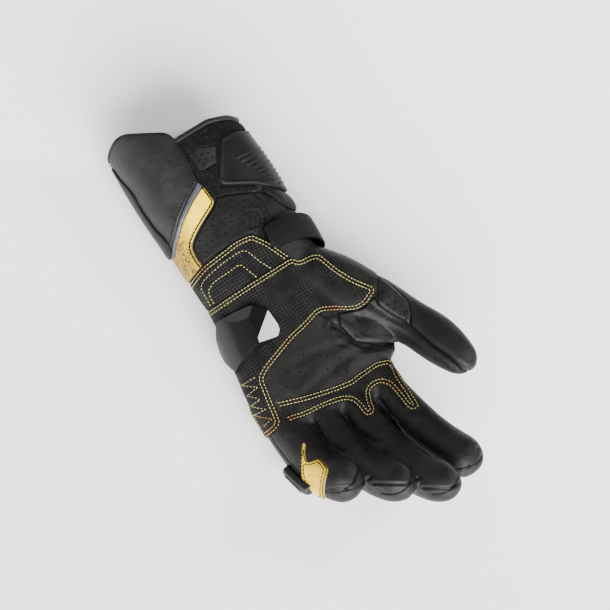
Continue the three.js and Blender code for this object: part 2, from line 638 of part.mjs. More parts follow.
// The gauntlet: lining, bound edge, outer leather with its stripes, and what is on the lining
const cuffEnd = block([-REACH, HAND_START - GAP / 2], [-REACH, REACH], [0, REACH]);
const lining = skin.intersect(cuffEnd);
addMesh("cuff_lining", lining.intersect(prism(layout, OUTLINES.cuffLining, -REACH, REACH)), LOOP_BLACK, 0.9);
const binding = form(0)
  .subtract(form(-BINDING.thick))
  .intersect(prism(layout, shifted(OUTLINES.cuffLining, -BINDING.wide), -REACH, REACH))
  .subtract(prism(layout, shifted(OUTLINES.cuffLining, -GAP), -REACH, REACH))
  .intersect(block([-REACH, -WRIST_X], [-REACH, REACH], [0, REACH]));
addMesh("cuff_edge_binding", binding, LEATHER_BLACK);
addMesh("cuff_flap", layer(OUTLINES.flap, GAP, FLAP, CUFF_SEAM_Z + GAP), LEATHER_BLACK);
addMesh("cuff_grey_stripe", layer(OUTLINES.greyStripe, GAP, FLAP, CUFF_SEAM_Z + GAP), GREY, 0.6);
addMesh("cuff_gold_panel", layer(OUTLINES.goldPanel, GAP, FLAP, CUFF_SEAM_Z + GAP), GOLD, 0.6);
const cuffOuter = form(GAP + FLAP).subtract(form(GAP));
addMesh("cuff_back", cuffOuter.intersect(prism(plan, CUFF_BACK, 0, CUFF_SEAM_Z)), LEATHER_BLACK);
const windowHole = prism(layout, OUTLINES.window, -REACH, REACH);
const loopField = layer(OUTLINES.loopField, GAP, FACING, CUFF_SEAM_Z + GAP).subtract(windowHole);
addMesh("cuff_loop_field", loopField, LOOP_BLACK, 0.95);
const windowPane = layer(shrunk(OUTLINES.window, WINDOW_SHARE), GAP, FACING - GAP, CUFF_SEAM_Z + GAP);
addMesh("cuff_window", windowPane, LEATHER_BLACK);

// The ribbed panel, whose ribs are sunk a little into it
let ribbedPanel = layer(OUTLINES.ribbedPanel, GAP, RIB_PANEL, CUFF_SEAM_Z + GAP);
for (let k = 0; k < RIBS.count; k++) {
  const near = RIBS.first + k * RIBS.pitch;
  const far = near + RIBS.wide;
  const from = RIBS.from + k * RIBS.step;
  const strip = [[near, from], [far, from], [far, RIBS.to], [near, RIBS.to]];
  ribbedPanel = ribbedPanel.add(layer(strip, RIB_PANEL, GAP + RIBS.rise, CUFF_SEAM_Z + GAP));
}
addMesh("cuff_ribbed_panel", ribbedPanel, RUBBER, 0.55);
addMesh("wrist_perforated_panel", layer(OUTLINES.wristPanel, GAP, FACING, CUFF_SEAM_Z + GAP), LEATHER_BLACK);
addMesh("wrist_gusset", layer(OUTLINES.wristGusset, GAP, GUSSET, CUFF_SEAM_Z + GAP), LEATHER_BLACK);
const forearmGuard = layer(OUTLINES.forearmGuard, 2 * GAP + FLAP, GUARD.forearm, FINGER_EDGE_Z);
addMesh("forearm_guard", forearmGuard, RUBBER, 0.5);

export default glove;
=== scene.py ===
# A left-hand leather racing glove that lies palm up: how each of its panels looks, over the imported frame.
import math

import bmesh
import bpy
import numpy as np
from mathutils import Matrix, Vector
from mathutils.bvhtree import BVHTree


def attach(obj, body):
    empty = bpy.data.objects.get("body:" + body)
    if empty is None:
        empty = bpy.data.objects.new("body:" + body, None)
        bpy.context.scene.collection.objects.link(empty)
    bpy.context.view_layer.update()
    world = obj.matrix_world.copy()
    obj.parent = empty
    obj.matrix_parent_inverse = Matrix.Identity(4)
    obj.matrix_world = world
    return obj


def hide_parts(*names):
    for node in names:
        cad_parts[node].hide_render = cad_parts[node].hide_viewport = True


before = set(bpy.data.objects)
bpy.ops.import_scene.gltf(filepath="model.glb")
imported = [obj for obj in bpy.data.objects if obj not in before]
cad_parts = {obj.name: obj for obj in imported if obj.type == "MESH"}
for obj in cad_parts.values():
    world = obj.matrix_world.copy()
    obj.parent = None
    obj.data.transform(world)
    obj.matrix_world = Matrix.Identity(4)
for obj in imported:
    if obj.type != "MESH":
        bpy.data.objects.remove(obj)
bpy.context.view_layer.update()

# The view. The glove lies on its back and is seen from above the little finger's side, nearly square on
# to the palm. The palm's panels are laid out on that same plane, in millimetres along it towards the
# fingers and across it towards the thumb, from the crease of the wrist. Other points count x from there.
# Many of the outlines were picked on the photo in pixels and turned into these millimetres, at 0.70 mm for
# one pixel, outside this script.
MM = 0.001
WRIST_X = 60
WRIST_Z = 31
ROLL, PITCH, TURN = np.radians([26, 10, 57])
ALONG = np.array([math.cos(PITCH), math.sin(PITCH) * math.sin(ROLL), -math.sin(PITCH) * math.cos(ROLL)])
ACROSS = np.array([0, math.cos(ROLL), math.sin(ROLL)])
OUT = np.cross(ALONG, ACROSS)
VIEW_WIDE = 427
VIEW_MIDDLE = (41, 13)
CAMERA_AWAY = 2500


def placed(points):
    """Millimetres from the crease of the wrist as metres in the frame."""
    return (np.asarray(points, float) + [WRIST_X, 0, 0]) * MM


def on_layout(a, b, height=0):
    """A point of the layout plane, or one that stands off it."""
    return np.array([0, 0, WRIST_Z]) + a * ALONG + b * ACROSS + height * OUT


camera = bpy.data.objects.new("camera", bpy.data.cameras.new("camera"))
bpy.context.scene.collection.objects.link(camera)
camera.data.lens = camera.data.sensor_width * CAMERA_AWAY / VIEW_WIDE
camera.data.clip_end = 10
right = ALONG * math.cos(TURN) + ACROSS * math.sin(TURN)
up = ACROSS * math.cos(TURN) - ALONG * math.sin(TURN)
camera.matrix_world = Matrix.Translation(placed(on_layout(*VIEW_MIDDLE, CAMERA_AWAY))) @ Matrix(
    np.column_stack([right, up, OUT]).tolist()
).to_4x4()
bpy.context.scene.camera = camera


# The studio: a pale floor, a dim even surround and one strong wide light from beyond the fingers, so that
# the floor is bright and the black leather mirrors little of it to the camera, with a faint one from
# overhead. Two softboxes stand low over the cuff and beside the thumb, where the slider's upper band and
# its bright facet mirror them. Directions are on the layout plane and off it.
# Wide lights: direction, strength, and how many degrees of the sky each fills
WIDE_LIGHTS = {"finger_side": (0.75, -0.25, 0.62, 20.5, 70), "overhead": (-0.1, -0.4, 0.91, 0.4, 84)}
# Softboxes: direction, how far away, width, watts
SOFTBOXES = {
    "thumb_side": (0.143, 0.936, 0.322, 1300, 250, 10.5),
    "cuff_side": (-0.97, -0.03, 0.24, 1400, 1200, 8),
}
AIM = (40, -20)
SURROUND_TINT, SURROUND_STRENGTH = (0.95, 0.96, 1, 1), 0.3
FLOOR_WIDE, FLOOR_TONE, FLOOR_ROUGH = 6000, (0.95, 0.95, 0.95, 1), 0.8


def add_light(name, kind, direction, away):
    """A lamp that shines on the palm from a direction of the layout plane."""
    lamp = bpy.data.lights.new(name, kind)
    light = bpy.data.objects.new(name, lamp)
    along, across, off = direction
    light.location = placed(on_layout(AIM[0] + along * away, AIM[1] + across * away, off * away))
    way = Vector(placed(on_layout(*AIM))) - light.location
    light.rotation_euler = way.to_track_quat("-Z", "Y").to_euler()
    bpy.context.scene.collection.objects.link(light)
    return lamp


for name, (*direction, strength, spread) in WIDE_LIGHTS.items():
    lamp = add_light(name, "SUN", direction, 2000)
    lamp.energy = strength
    lamp.angle = math.radians(spread)
for name, (*direction, away, wide, watts) in SOFTBOXES.items():
    lamp = add_light(name, "AREA", direction, away)
    lamp.energy = watts
    lamp.size = wide * MM

surround = bpy.data.worlds.new("surround")
surround.use_nodes = True
sky = surround.node_tree.nodes["Background"]
sky.inputs["Color"].default_value = SURROUND_TINT
sky.inputs["Strength"].default_value = SURROUND_STRENGTH
bpy.context.scene.world = surround

floor_mesh = bpy.data.meshes.new("floor")
corners = [(x * FLOOR_WIDE / 2, y * FLOOR_WIDE / 2, 0) for x, y in ((-1, -1), (1, -1), (1, 1), (-1, 1))]
floor_mesh.from_pydata(placed(corners).tolist(), [], [(0, 1, 2, 3)])
floor = bpy.data.objects.new("floor", floor_mesh)
bpy.context.scene.collection.objects.link(floor)
floor_paint = bpy.data.materials.new("floor_paint")
floor_paint.use_nodes = True
paint = floor_paint.node_tree.nodes["Principled BSDF"]
paint.inputs["Base Color"].default_value = FLOOR_TONE
paint.inputs["Roughness"].default_value = FLOOR_ROUGH
floor_mesh.materials.append(floor_paint)

# The glove's outer form, over which every panel is cut: the hand and gauntlet, four fingers, the thumb
# and the web beside it, as soft leather stands when the glove is laid down empty.
# Body: x, middle y, width, lowest, highest, slant of the section
BODY = [
    (-135, -1.5, 92, 1.2, 61, 0),
    (-95, -2, 93, 1.2, 63, 0),
    (-50, -1, 95, 1.2, 62, 0),
    (-15, -1, 92, 3.5, 57, 0),
    (10, -1.5, 91, 6, 53, 0),
    (35, -1, 95, 5, 48, 0.02),
    (65, -1, 105, 3, 45, 0.08),
    (92, -3.5, 107, 5, 43, 0.14),
    (109, -5.5, 100, 10, 40, 0.14),
    (119, -6, 86, 17, 34, 0.12),
]
# A power of 2 makes a section an ellipse, and a higher one squarer
BODY_POWER = 2.5
BODY_STEP = 4
# Fingers: the root's x, y and z, heading, length, width, thickness, curl at the root and at the tip, and
# how far the tip turns to the thumb's side
FINGERS = {
    "little": (104, -44, 20.5, -4, 86, 27.5, 30, 5, 68, 34),
    "ring": (112, -21, 24, 0, 100, 25, 28, 8, 60, 36),
    "middle": (117, 5, 25, 0, 113, 26.4, 28, 7, 59, 28),
    "index": (116, 33.2, 25, 5.5, 98, 27.8, 27, 5, 48, 0),
}
FINGER_ROOT = 20
FINGER_POWER = 2.4
TIP_ROUND = 0.19
# Thumb: distance along its bone, heading, lift, width, thickness
THUMB_START = (12, 20, 30)
THUMB = [
    (0, 40, 2, 40, 40),
    (35, 38, 2, 46, 42),
    (65, 33, 6, 38, 36),
    (92, 24, 12, 32.5, 30),
    (118, 13, 18, 33, 28),
    (136, 6, 22, 27, 24),
    (146, 3, 24, 20, 17),
    (151, 2, 24, 9, 8),
]
THUMB_POWER = 2.3
WEB_MIDDLE, WEB_RADII = (80, 44, 28), (24, 18, 15)
VOXEL = 1.15
SOFTEN_PASSES = 14


def between(table, x):
    """A table's columns at x, its first column, on a smooth curve through its rows."""
    rows = np.array(table, float)
    i = int(np.clip(np.searchsorted(rows[:, 0], x) - 1, 0, len(rows) - 2))
    before, start, end, after = (rows[min(max(j, 0), len(rows) - 1)] for j in (i - 1, i, i + 1, i + 2))
    span = end[0] - start[0]
    t = min(max((x - start[0]) / span, 0), 1)
    leave = (end - before) / (end[0] - before[0]) * span
    arrive = (after - start) / (after[0] - start[0]) * span
    early = (2 * t**3 - 3 * t**2 + 1) * start + (t**3 - 2 * t**2 + t) * leave
    return early + (3 * t**2 - 2 * t**3) * end + (t**3 - t**2) * arrive


def ring(middle, side, rise, half_wide, half_thick, power, sides=56):
    """A rounded rectangle of points, between an ellipse, at power 2, and a box."""
    turn = np.linspace(0, 2 * math.pi, sides, endpoint=False)
    u = half_wide * np.sign(np.cos(turn)) * np.abs(np.cos(turn)) ** (2 / power)
    v = half_thick * np.sign(np.sin(turn)) * np.abs(np.sin(turn)) ** (2 / power)
    return np.asarray(middle) + np.outer(u, side) + np.outer(v, rise)


def loft(rings):
    """Points and faces of a closed skin over a row of rings."""
    sides = len(rings[0])
    k = np.arange(sides)
    faces = []
    for r in range(len(rings) - 1):
        here, there = r * sides, (r + 1) * sides
        near, far = here + (k + 1) % sides, there + (k + 1) % sides
        faces += np.stack([here + k, near, far, there + k], 1).tolist()
    faces.append(k[::-1].tolist())
    faces.append(((len(rings) - 1) * sides + k).tolist())
    return np.concatenate(rings), faces


def heading(yaw, curl):
    yaw, curl = math.radians(yaw), math.radians(curl)
    return np.array([math.cos(curl) * math.cos(yaw), math.cos(curl) * math.sin(yaw), math.sin(curl)])


def bone(start, shape, begin, end):
    """A row for each millimetre of a digit's bone: distance, point, the way across it and up from it."""
    point = np.array(start, float)
    rows = []
    for s in np.arange(begin, end + 0.5):
        way = shape(s)[0]
        side = np.cross([0, 0, 1], way)
        side /= np.linalg.norm(side)
        rows.append((s, point.copy(), side, np.cross(way, side)))
        point += shape(s + 0.5)[0]
    return rows


def finger_shape(row):
    """A finger's heading, width and thickness at a distance from its root."""
    yaw, length, wide, thick, curl_root, curl_tip, veer = row[3:]

    def shape(s):
        share = min(max(s / length, 0), 1)
        round_off = max(0, (share - (1 - TIP_ROUND)) / TIP_ROUND)
        taper = (1.01 + 0.03 * share) * math.sqrt(max(0.01, 1 - round_off**2.3))
        curl = curl_root + (curl_tip - curl_root) * share**1.1
        return heading(yaw + veer * share**4, curl), wide * taper, thick * taper

    return shape


def thumb_shape(s):
    _, yaw, curl, wide, thick = between(THUMB, s)
    return heading(yaw, curl), wide, thick


def digit(rows, shape, power):
    rings = []
    for s, point, side, rise in rows:
        _, wide, thick = shape(s)
        rings.append(ring(point, side, rise, wide / 2, thick / 2, power))
    return loft(rings)


forms = []
body_rings = []
for x in np.arange(BODY[0][0], BODY[-1][0] + BODY_STEP, BODY_STEP):
    x, y, wide, low, high, slant = between(BODY, min(x, BODY[-1][0]))
    body_rings.append(
        ring((x, y, (low + high) / 2), (slant, 1, 0), (0, 0, 1), wide / 2, (high - low) / 2, BODY_POWER, 96)
    )
forms.append(loft(body_rings))
BONES = {}
for name, row in FINGERS.items():
    shape = finger_shape(row)
    root = np.array(row[:3]) - shape(0)[0] * FINGER_ROOT
    BONES[name] = bone(root, shape, -FINGER_ROOT, row[4])
    forms.append(digit(BONES[name], shape, FINGER_POWER))
BONES["thumb"] = bone(THUMB_START, thumb_shape, 0, THUMB[-1][0])
forms.append(digit(BONES["thumb"], thumb_shape, THUMB_POWER))
web_rings = []
for turn in np.radians(np.linspace(-84, 84, 17)):
    middle = np.array(WEB_MIDDLE) + [math.sin(turn) * WEB_RADII[0], 0, 0]
    reach = math.cos(turn)
    web_rings.append(ring(middle, (0, 1, 0), (0, 0, 1), WEB_RADII[1] * reach, WEB_RADII[2] * reach, 2))
forms.append(loft(web_rings))

points, faces = [], []
for form_points, form_faces in forms:
    faces += [[i + len(points) for i in face] for face in form_faces]
    points += form_points.tolist()
form_mesh = bpy.data.meshes.new("form")
form_mesh.from_pydata(points, [], faces)
form = bpy.data.objects.new("form", form_mesh)
bpy.context.scene.collection.objects.link(form)
remesh = form.modifiers.new("remesh", "REMESH")
remesh.mode = "VOXEL"
remesh.voxel_size = VOXEL
fused = form.evaluated_get(bpy.context.evaluated_depsgraph_get()).to_mesh()
skin = np.zeros(len(fused.vertices) * 3)
fused.vertices.foreach_get("co", skin)
skin = skin.reshape(-1, 3)
quads = np.zeros(len(fused.polygons) * 4, int)
fused.polygons.foreach_get("vertices", quads)
quads = quads.reshape(-1, 4)
bpy.data.objects.remove(form)


def soften(points, faces, passes):
    """Moves each point half way to the middle of its neighbours, pass after pass."""
    starts, ends = faces.ravel(), np.roll(faces, -1, axis=1).ravel()
    count = np.bincount(starts, minlength=len(points)) + np.bincount(ends, minlength=len(points))
    for _ in range(passes):
        total = np.zeros_like(points)
        for k in range(3):
            total[:, k] = np.bincount(starts, points[ends, k], len(points))
            total[:, k] += np.bincount(ends, points[starts, k], len(points))
        points = points + (total / count[:, None] - points) * 0.5
    return points


def normals_of(points, triangles):
    a, b, c = (points[triangles[:, k]] for k in range(3))
    face = np.cross(b - a, c - a)
    total = np.zeros_like(points)
    for k in range(3):
        for corner in range(3):
            total[:, k] += np.bincount(triangles[:, corner], face[:, k], len(points))
    return total / np.maximum(np.linalg.norm(total, axis=1), 1e-9)[:, None]


skin = soften(skin, quads, SOFTEN_PASSES)
skin_triangles = np.concatenate([quads[:, [0, 1, 2]], quads[:, [0, 2, 3]]])
skin_normals = normals_of(skin, skin_triangles)

# Folds of the leather, drawn on the layout plane: how deep, how wide, how much their rims rise, lines
FOLDS = {
    "round_the_ball_of_the_thumb": (2.2, 2.2, 0.35, [
        [(64, 22), (73, 26), (81.8, 28.3), (88, 34), (91.8, 39.3), (96, 47), (97.6, 51.4)],
    ]),
    "beside_it": (1.0, 1.6, 0.35, [[(70, 20), (79, 24), (88, 31), (94, 40), (97, 47)]]),
    "beside_that": (0.9, 1.5, 0.35, [[(77, 19), (86, 25), (93, 33), (97, 42)]]),
    "thumb_seam": (1.2, 2.5, 0.35, [
        [(66, 52), (80, 58), (92.4, 65), (110, 70.5), (126, 76.5), (138, 79.5), (146, 86)],
    ]),
    "wrist": (1.0, 0.9, 0.35, [
        [(-35.7, 14.4), (-30, 13), (-24.6, 9.7)],
        [(-34, 17.5), (-28.5, 16), (-23, 12)],
        [(-32, 20.5), (-27, 19.5), (-22.5, 15)],
    ]),
    "wrist_at_the_strap": (0.9, 0.8, 0.35, [[(-30, 23.5), (-26, 23), (-22.5, 19)]]),
    "under_the_gusset": (0.7, 1.2, 0.35, [[(-44, 25), (-37, 27.5), (-29, 26.5), (-23, 26.5)]]),
    "fingertips": (0.9, 0.9, 0.35, [
        [(154.7, -40.8), (162.7, -28.4), (163.4, -13.1)],
        [(168.1, -13.6), (180.3, 5.2), (181.7, 15.1)],
        [(188.8, 13.0), (198.5, 26.8), (199.3, 39.6)],
        [(196.8, 42.1), (193.7, 51.6), (187.2, 60.8)],
    ]),
    "index_root": (0.6, 2.0, 0.35, [[(132, 20), (141, 30), (147, 41)]]),
    "index_joint": (0.5, 1.6, 0.35, [[(140, 18), (148, 27), (154, 38)]]),
    "ring_and_middle_roots": (0.6, 2.4, 0.35, [
        [(131, -28), (139, -22), (143, -14)],
        [(138, -4), (146, 2), (151, 10)],
    ]),
    "ball_of_the_thumb": (0.7, 3.0, 0.35, [[(60, 62), (63, 50), (60, 40)]]),
    "across_the_palm": (0.45, 2.8, 0.5, [[(92, -19), (89, 2), (87, 20), (90, 30)]]),
    "hollow_of_the_palm": (0.3, 2.6, 0.5, [[(71, -12), (74, 7), (78, 22)]]),
    "between_fingers": (1.8, 1.3, 0, [
        [(126, 20.5), (141.7, 20.2), (152, 20.6)],
        [(121.5, -5.2), (133, -5.5), (146, -4.6)],
        [(112.5, -26), (122, -27), (134, -26.5)],
    ]),
}
# Where it bulges: how high, and the middle and the radii of each bulge
BULGES = [(2.4, -31.5, 33.5, 9, 6.5), (1.2, 76, 42, 10, 9), (0.8, 30, 30, 20, 12)]
# Slack leather: how high its slow waves are
SLACK = 0.35


def layout_of(points):
    """Where points lie on the layout plane, and how far off it."""
    from_wrist = points[:, :3] - [0, 0, WRIST_Z]
    return from_wrist @ ALONG, from_wrist @ ACROSS, from_wrist @ OUT


def line_distance(a, b, line, closed=False):
    """How far the points (a, b) are from a line of corners."""
    line = np.asarray(line, float)
    ends = np.roll(line, -1, axis=0) if closed else line[1:]
    nearest = np.full(len(a), 1e9)
    for (x, y), (x2, y2) in zip(line, ends):
        dx, dy = x2 - x, y2 - y
        t = np.clip(((a - x) * dx + (b - y) * dy) / (dx * dx + dy * dy), 0, 1)
        nearest = np.minimum(nearest, np.hypot(a - x - t * dx, b - y - t * dy))
    return nearest


a, b, _ = layout_of(skin)
facing = np.clip(skin_normals @ OUT * 3, 0, 1)
sink = np.zeros(len(skin))
for depth, wide, rim, lines in FOLDS.values():
    for line in lines:
        away = line_distance(a, b, line) / wide
        sink += depth * (np.exp(-(away**2)) - rim * np.exp(-((away - 2.2) ** 2))) * facing
for high, middle_a, middle_b, radius_a, radius_b in BULGES:
    sink -= high * np.exp(-(((a - middle_a) / radius_a) ** 2) - ((b - middle_b) / radius_b) ** 2) * facing
wave = np.sin(skin[:, 0] / 11 + 2 * np.sin(skin[:, 1] / 17)) * np.sin(skin[:, 1] / 9 + skin[:, 2] / 14 + 1)
skin = skin + skin_normals * (SLACK * wave - sink)[:, None]
skin_normals = normals_of(skin, skin_triangles)
skin_rows = np.hstack([skin, skin_normals])


# The palm and the back of the hand: black cowhide with a lining, two panels whose edges are turned in
# and sewn together in a seam round the sides. Round holes are punched on the thumb's side of the palm.
def crossings(triangles, values):
    """The triangles that values change sign in, each from its lone corner on, and the edges cut."""
    above = values > 0
    count = above[triangles].sum(1)
    mixed = triangles[(count == 1) | (count == 2)]
    flags = above[mixed]
    lone = np.where(flags.sum(1) == 1, flags.argmax(1), (~flags).argmax(1))
    turned = mixed[np.arange(len(mixed))[:, None], (lone[:, None] + np.arange(3)) % 3]
    pairs = np.sort(np.concatenate([turned[:, [0, 1]], turned[:, [0, 2]]]), axis=1)
    edges, which = np.unique(pairs, axis=0, return_inverse=True)
    which = which.ravel()
    share = values[edges[:, 0]] / (values[edges[:, 0]] - values[edges[:, 1]])
    return turned, edges, np.clip(share, 0.03, 0.97)[:, None], which[: len(mixed)], which[len(mixed) :]


def split(rows, triangles, values, both=False):
    """Cuts a sheet along the line where values pass 0, and keeps the side above it or both."""
    turned, edges, share, first, second = crossings(triangles, values)
    new = rows[edges[:, 0]] * (1 - share) + rows[edges[:, 1]] * share
    first, second = first + len(rows), second + len(rows)
    tip = np.stack([turned[:, 0], first, second], 1)
    near = np.stack([first, turned[:, 1], turned[:, 2]], 1)
    far = np.stack([first, turned[:, 2], second], 1)
    above = values > 0
    count = above[triangles].sum(1)
    lone_above = above[turned[:, 0]]
    kept = [triangles[count == 3], tip[lone_above], near[~lone_above], far[~lone_above]]
    if both:
        kept += [triangles[count == 0], tip[~lone_above], near[lone_above], far[lone_above]]
    used, triangles = np.unique(np.concatenate(kept), return_inverse=True)
    return np.concatenate([rows, new])[used], triangles.reshape(-1, 3)


def contour(rows, triangles, values):
    """Lines of rows along which values are 0."""
    _, edges, share, first, second = crossings(triangles, values)
    cut = rows[edges[:, 0]] * (1 - share) + rows[edges[:, 1]] * share
    linked = [[] for _ in cut]
    for i, j in zip(first, second):
        linked[i].append(j)
        linked[j].append(i)
    seen = set()
    lines = []
    for start in sorted(range(len(cut)), key=lambda i: len(linked[i])):
        if start in seen:
            continue
        line = [start]
        seen.add(start)
        while True:
            onward = [j for j in linked[line[-1]] if j not in seen]
            if not onward:
                break
            line.append(onward[0])
            seen.add(onward[0])
        if line[0] in linked[line[-1]] and len(line) > 2:
            line.append(line[0])
        if len(line) > 4:
            lines.append(cut[line])
    return lines


def rounded(line, radius, closed=False):
    """A line whose corners are cut round, by radius or by a corner's own third number."""
    radii = [point[2] if len(point) > 2 else radius for point in line]
    line = [np.array(point[:2], float) for point in line]
    before_all = [line[-1]] + line[:-1]
    after_all = line[1:] + [line[0]]
    curve = []
    for before, corner, after, radius in zip(before_all, line, after_all, radii):
        near = min(radius, np.linalg.norm(before - corner) / 2.2, np.linalg.norm(after - corner) / 2.2)
        start = corner + (before - corner) / np.linalg.norm(before - corner) * near
        end = corner + (after - corner) / np.linalg.norm(after - corner) * near
        steps = (0, 0.25, 0.5, 0.75, 1) if radius else (0.5,)
        curve.append([(1 - t) ** 2 * start + 2 * t * (1 - t) * corner + t * t * end for t in steps])
    if not closed:
        curve[0], curve[-1] = [line[0]], [line[-1]]
    return np.concatenate(curve)


def within(outline, plane="layout", radius=0):
    """A field: how far a row lies inside an outline, on the layout plane or in plan, less than 0 outside.
    The outline's corners are cut round by radius."""
    line = rounded(outline, radius, closed=True)

    def field(rows):
        a, b = layout_of(rows)[:2] if plane == "layout" else (rows[:, 0], rows[:, 1])
        odd = np.zeros(len(rows), bool)
        for (x, y), (x2, y2) in zip(line, np.roll(line, -1, axis=0)):
            if y != y2:
                odd ^= ((y > b) != (y2 > b)) & (a < (x2 - x) * (b - y) / (y2 - y) + x)
        return np.where(odd, 1, -1) * line_distance(a, b, line, closed=True)

    return field


def outside(outline, plane="layout"):
    inner = within(outline, plane)
    return lambda rows: -inner(rows)


def over(level, axis=2):
    return lambda rows: rows[:, axis] - level


def under(level, axis=2):
    return lambda rows: level - rows[:, axis]


def cut_out(fields, rings=(), trims=()):
    """The part of the skin above all fields, with lines of points let in at some depths from its edge.
    Trims are fields whose edge has no such lines."""
    rows, triangles = skin_rows, skin_triangles
    for field in [*trims, *fields]:
        rows, triangles = split(rows, triangles, field(rows))
    for level in rings:
        depth = np.min([field(rows) for field in fields], axis=0)
        rows, triangles = split(rows, triangles, depth - level, both=True)
    depth = np.min([field(rows) for field in fields], axis=0)
    rows[:, 3:] /= np.linalg.norm(rows[:, 3:], axis=1)[:, None]
    return rows, triangles, np.maximum(depth, 0)


FLOOR_CLEAR = 0.02


def make_piece(name, points, faces, material, slot, nodes=(), edge=None):
    """A mesh in the scene that rides on the glove and stands for CAD nodes, pressed flat on the floor.
    edge is how far each point is from the piece's edge, for its material."""
    points[:, 2] = np.maximum(points[:, 2], FLOOR_CLEAR)
    mesh = bpy.data.meshes.new(name)
    mesh.from_pydata(placed(points).tolist(), [], faces)
    mesh.shade_smooth()
    if edge is not None:
        mesh.attributes.new("edge", "FLOAT", "POINT").data.foreach_set("value", np.asarray(edge, np.float32))
    mesh.materials.append(material)
    piece = bpy.data.objects.new(name, mesh)
    bpy.context.scene.collection.objects.link(piece)
    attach(piece, "root")
    if nodes:
        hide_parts(*nodes)


def shell(name, sheet, top, bottom, material, slot):
    """A closed piece between two heights over a sheet of the skin, for the CAD node of the same name."""
    rows, triangles, depth = sheet
    points = np.concatenate([rows[:, :3] + rows[:, 3:] * np.reshape(h, (-1, 1)) for h in (top, bottom)])
    count = len(rows)
    edges = np.concatenate([triangles[:, [0, 1]], triangles[:, [1, 2]], triangles[:, [2, 0]]])
    keys = np.sort(edges, axis=1) @ [count, 1]
    _, index, times = np.unique(keys, return_index=True, return_counts=True)
    a, b = edges[index[times == 1]].T
    walls = np.concatenate([np.stack([b, a, a + count], 1), np.stack([b, a + count, b + count], 1)])
    faces = np.concatenate([triangles, triangles[:, ::-1] + count, walls])
    make_piece(name, points, faces.tolist(), material, slot, [name], np.tile(depth, 2))


class Wire:
    """A socket of a material, on which Python's operators make Math nodes."""

    def __init__(self, socket):
        self.socket = socket

    def node(self, kind, settings, inputs, output=0):
        """A node of a type with its settings, and values or wires for its sockets."""
        tree = self.socket.id_data
        made = tree.nodes.new(kind)
        for key, value in settings.items():
            setattr(made, key, value)
        for key, value in inputs.items():
            if isinstance(value, Wire):
                tree.links.new(value.socket, made.inputs[key])
            else:
                made.inputs[key].default_value = value
        return Wire(made.outputs[output])

    def math(self, operation, other=0.0, swap=False):
        pair = (other, self) if swap else (self, other)
        return self.node("ShaderNodeMath", {"operation": operation}, dict(enumerate(pair)))

    def __add__(self, other):
        return self.math("ADD", other)

    def __sub__(self, other):
        return self.math("SUBTRACT", other)

    def __rsub__(self, other):
        return self.math("SUBTRACT", other, swap=True)

    def __mul__(self, other):
        return self.math("MULTIPLY", other)

    __radd__ = __add__
    __rmul__ = __mul__

    def ramp(self, low, high):
        """0 below low to 1 above high."""
        settings = {"interpolation_type": "SMOOTHSTEP"}
        return self.node("ShaderNodeMapRange", settings, {"Value": self, "From Min": low, "From Max": high})

    def mix(self, low, high):
        """From one colour to the other as this goes from 0 to 1."""
        low, high = (colour if isinstance(colour, Wire) else (*colour, 1) for colour in (low, high))
        return self.node("ShaderNodeMix", {"data_type": "RGBA"}, {"Factor": self, 6: low, 7: high}, 2)


def finish(name, colour, roughness, bump=None, bump_deep=0.1, **fixed):
    """A material. colour, roughness and bump are functions of the place in millimetres, or plain values."""
    material = bpy.data.materials.new(name)
    material.use_nodes = True
    tree = material.node_tree
    shader = tree.nodes["Principled BSDF"]
    place = Wire(tree.nodes.new("ShaderNodeTexCoord").outputs["Object"])
    place = place.node("ShaderNodeVectorMath", {"operation": "SCALE"}, {0: place, "Scale": 1 / MM})
    for key, value in fixed.items():
        shader.inputs[key.replace("_", " ")].default_value = value
    for key, value in (("Base Color", colour), ("Roughness", roughness)):
        value = value(place) if callable(value) else value
        if isinstance(value, Wire):
            tree.links.new(value.socket, shader.inputs[key])
        else:
            shader.inputs[key].default_value = (*value, 1) if isinstance(value, tuple) else value
    if bump:
        relief = place.node("ShaderNodeBump", {}, {"Height": bump(place), "Distance": bump_deep * MM})
        tree.links.new(relief.socket, shader.inputs["Normal"])
    return material


def noise(place, size, detail=2.0):
    """Soft noise whose patches are about size millimetres across."""
    return place.node("ShaderNodeTexNoise", {}, {"Vector": place, "Scale": 1 / size, "Detail": detail})


def cells(place, size):
    """How far a place is from the middle of the cell of about size millimetres that it lies in."""
    return place.node("ShaderNodeTexVoronoi", {}, {"Vector": place, "Scale": 1 / size})


def attribute(place, name):
    return place.node("ShaderNodeAttribute", {"attribute_name": name}, {}, 2)


# How dark the painted shade along the leather's seams is, as a share of its darker tone
SEAM_SHADE = 0.35


def leather_colour(dark, light):
    """Leather in random patches between two tones, with painted shade along its seams.
    A piece without the edge attribute is painted in that shade all over.
    """

    def colour(place):
        tone = noise(place, 14).ramp(0.35, 0.7) * 0.7 + noise(place, 1.6, 4).ramp(0.4, 0.7) * 0.3
        base = tone.mix(dark, light)
        # Painted shade along the seams, near the piece's edge
        seam_shade_mask = attribute(place, "edge").ramp(0.2, 1.4)
        return seam_shade_mask.mix(tuple(c * SEAM_SHADE for c in dark), base)

    return colour


def leather_grain(place):
    """Fine pebbles, with pores and soft creases between them."""
    pebble = cells(place, 0.85) * 0.6 + noise(place, 0.5, 3) * 0.5
    crease = noise(place, 5, 5).ramp(0.42, 0.6)
    return pebble + crease * 0.7


cowhide = finish(
    "black_cowhide",
    leather_colour((0.0036, 0.0034, 0.0032), (0.0078, 0.0074, 0.0068)),
    lambda place: 0.44 + noise(place, 9, 3) * 0.16,
    leather_grain,
    0.16,
    Specular_IOR_Level=0.2,
)

HAND_START = -17
SIDE_SEAM_Z = 22
LEATHER = 1.7
SEAM_DEEP, SEAM_WIDE = 0.9, 1.7
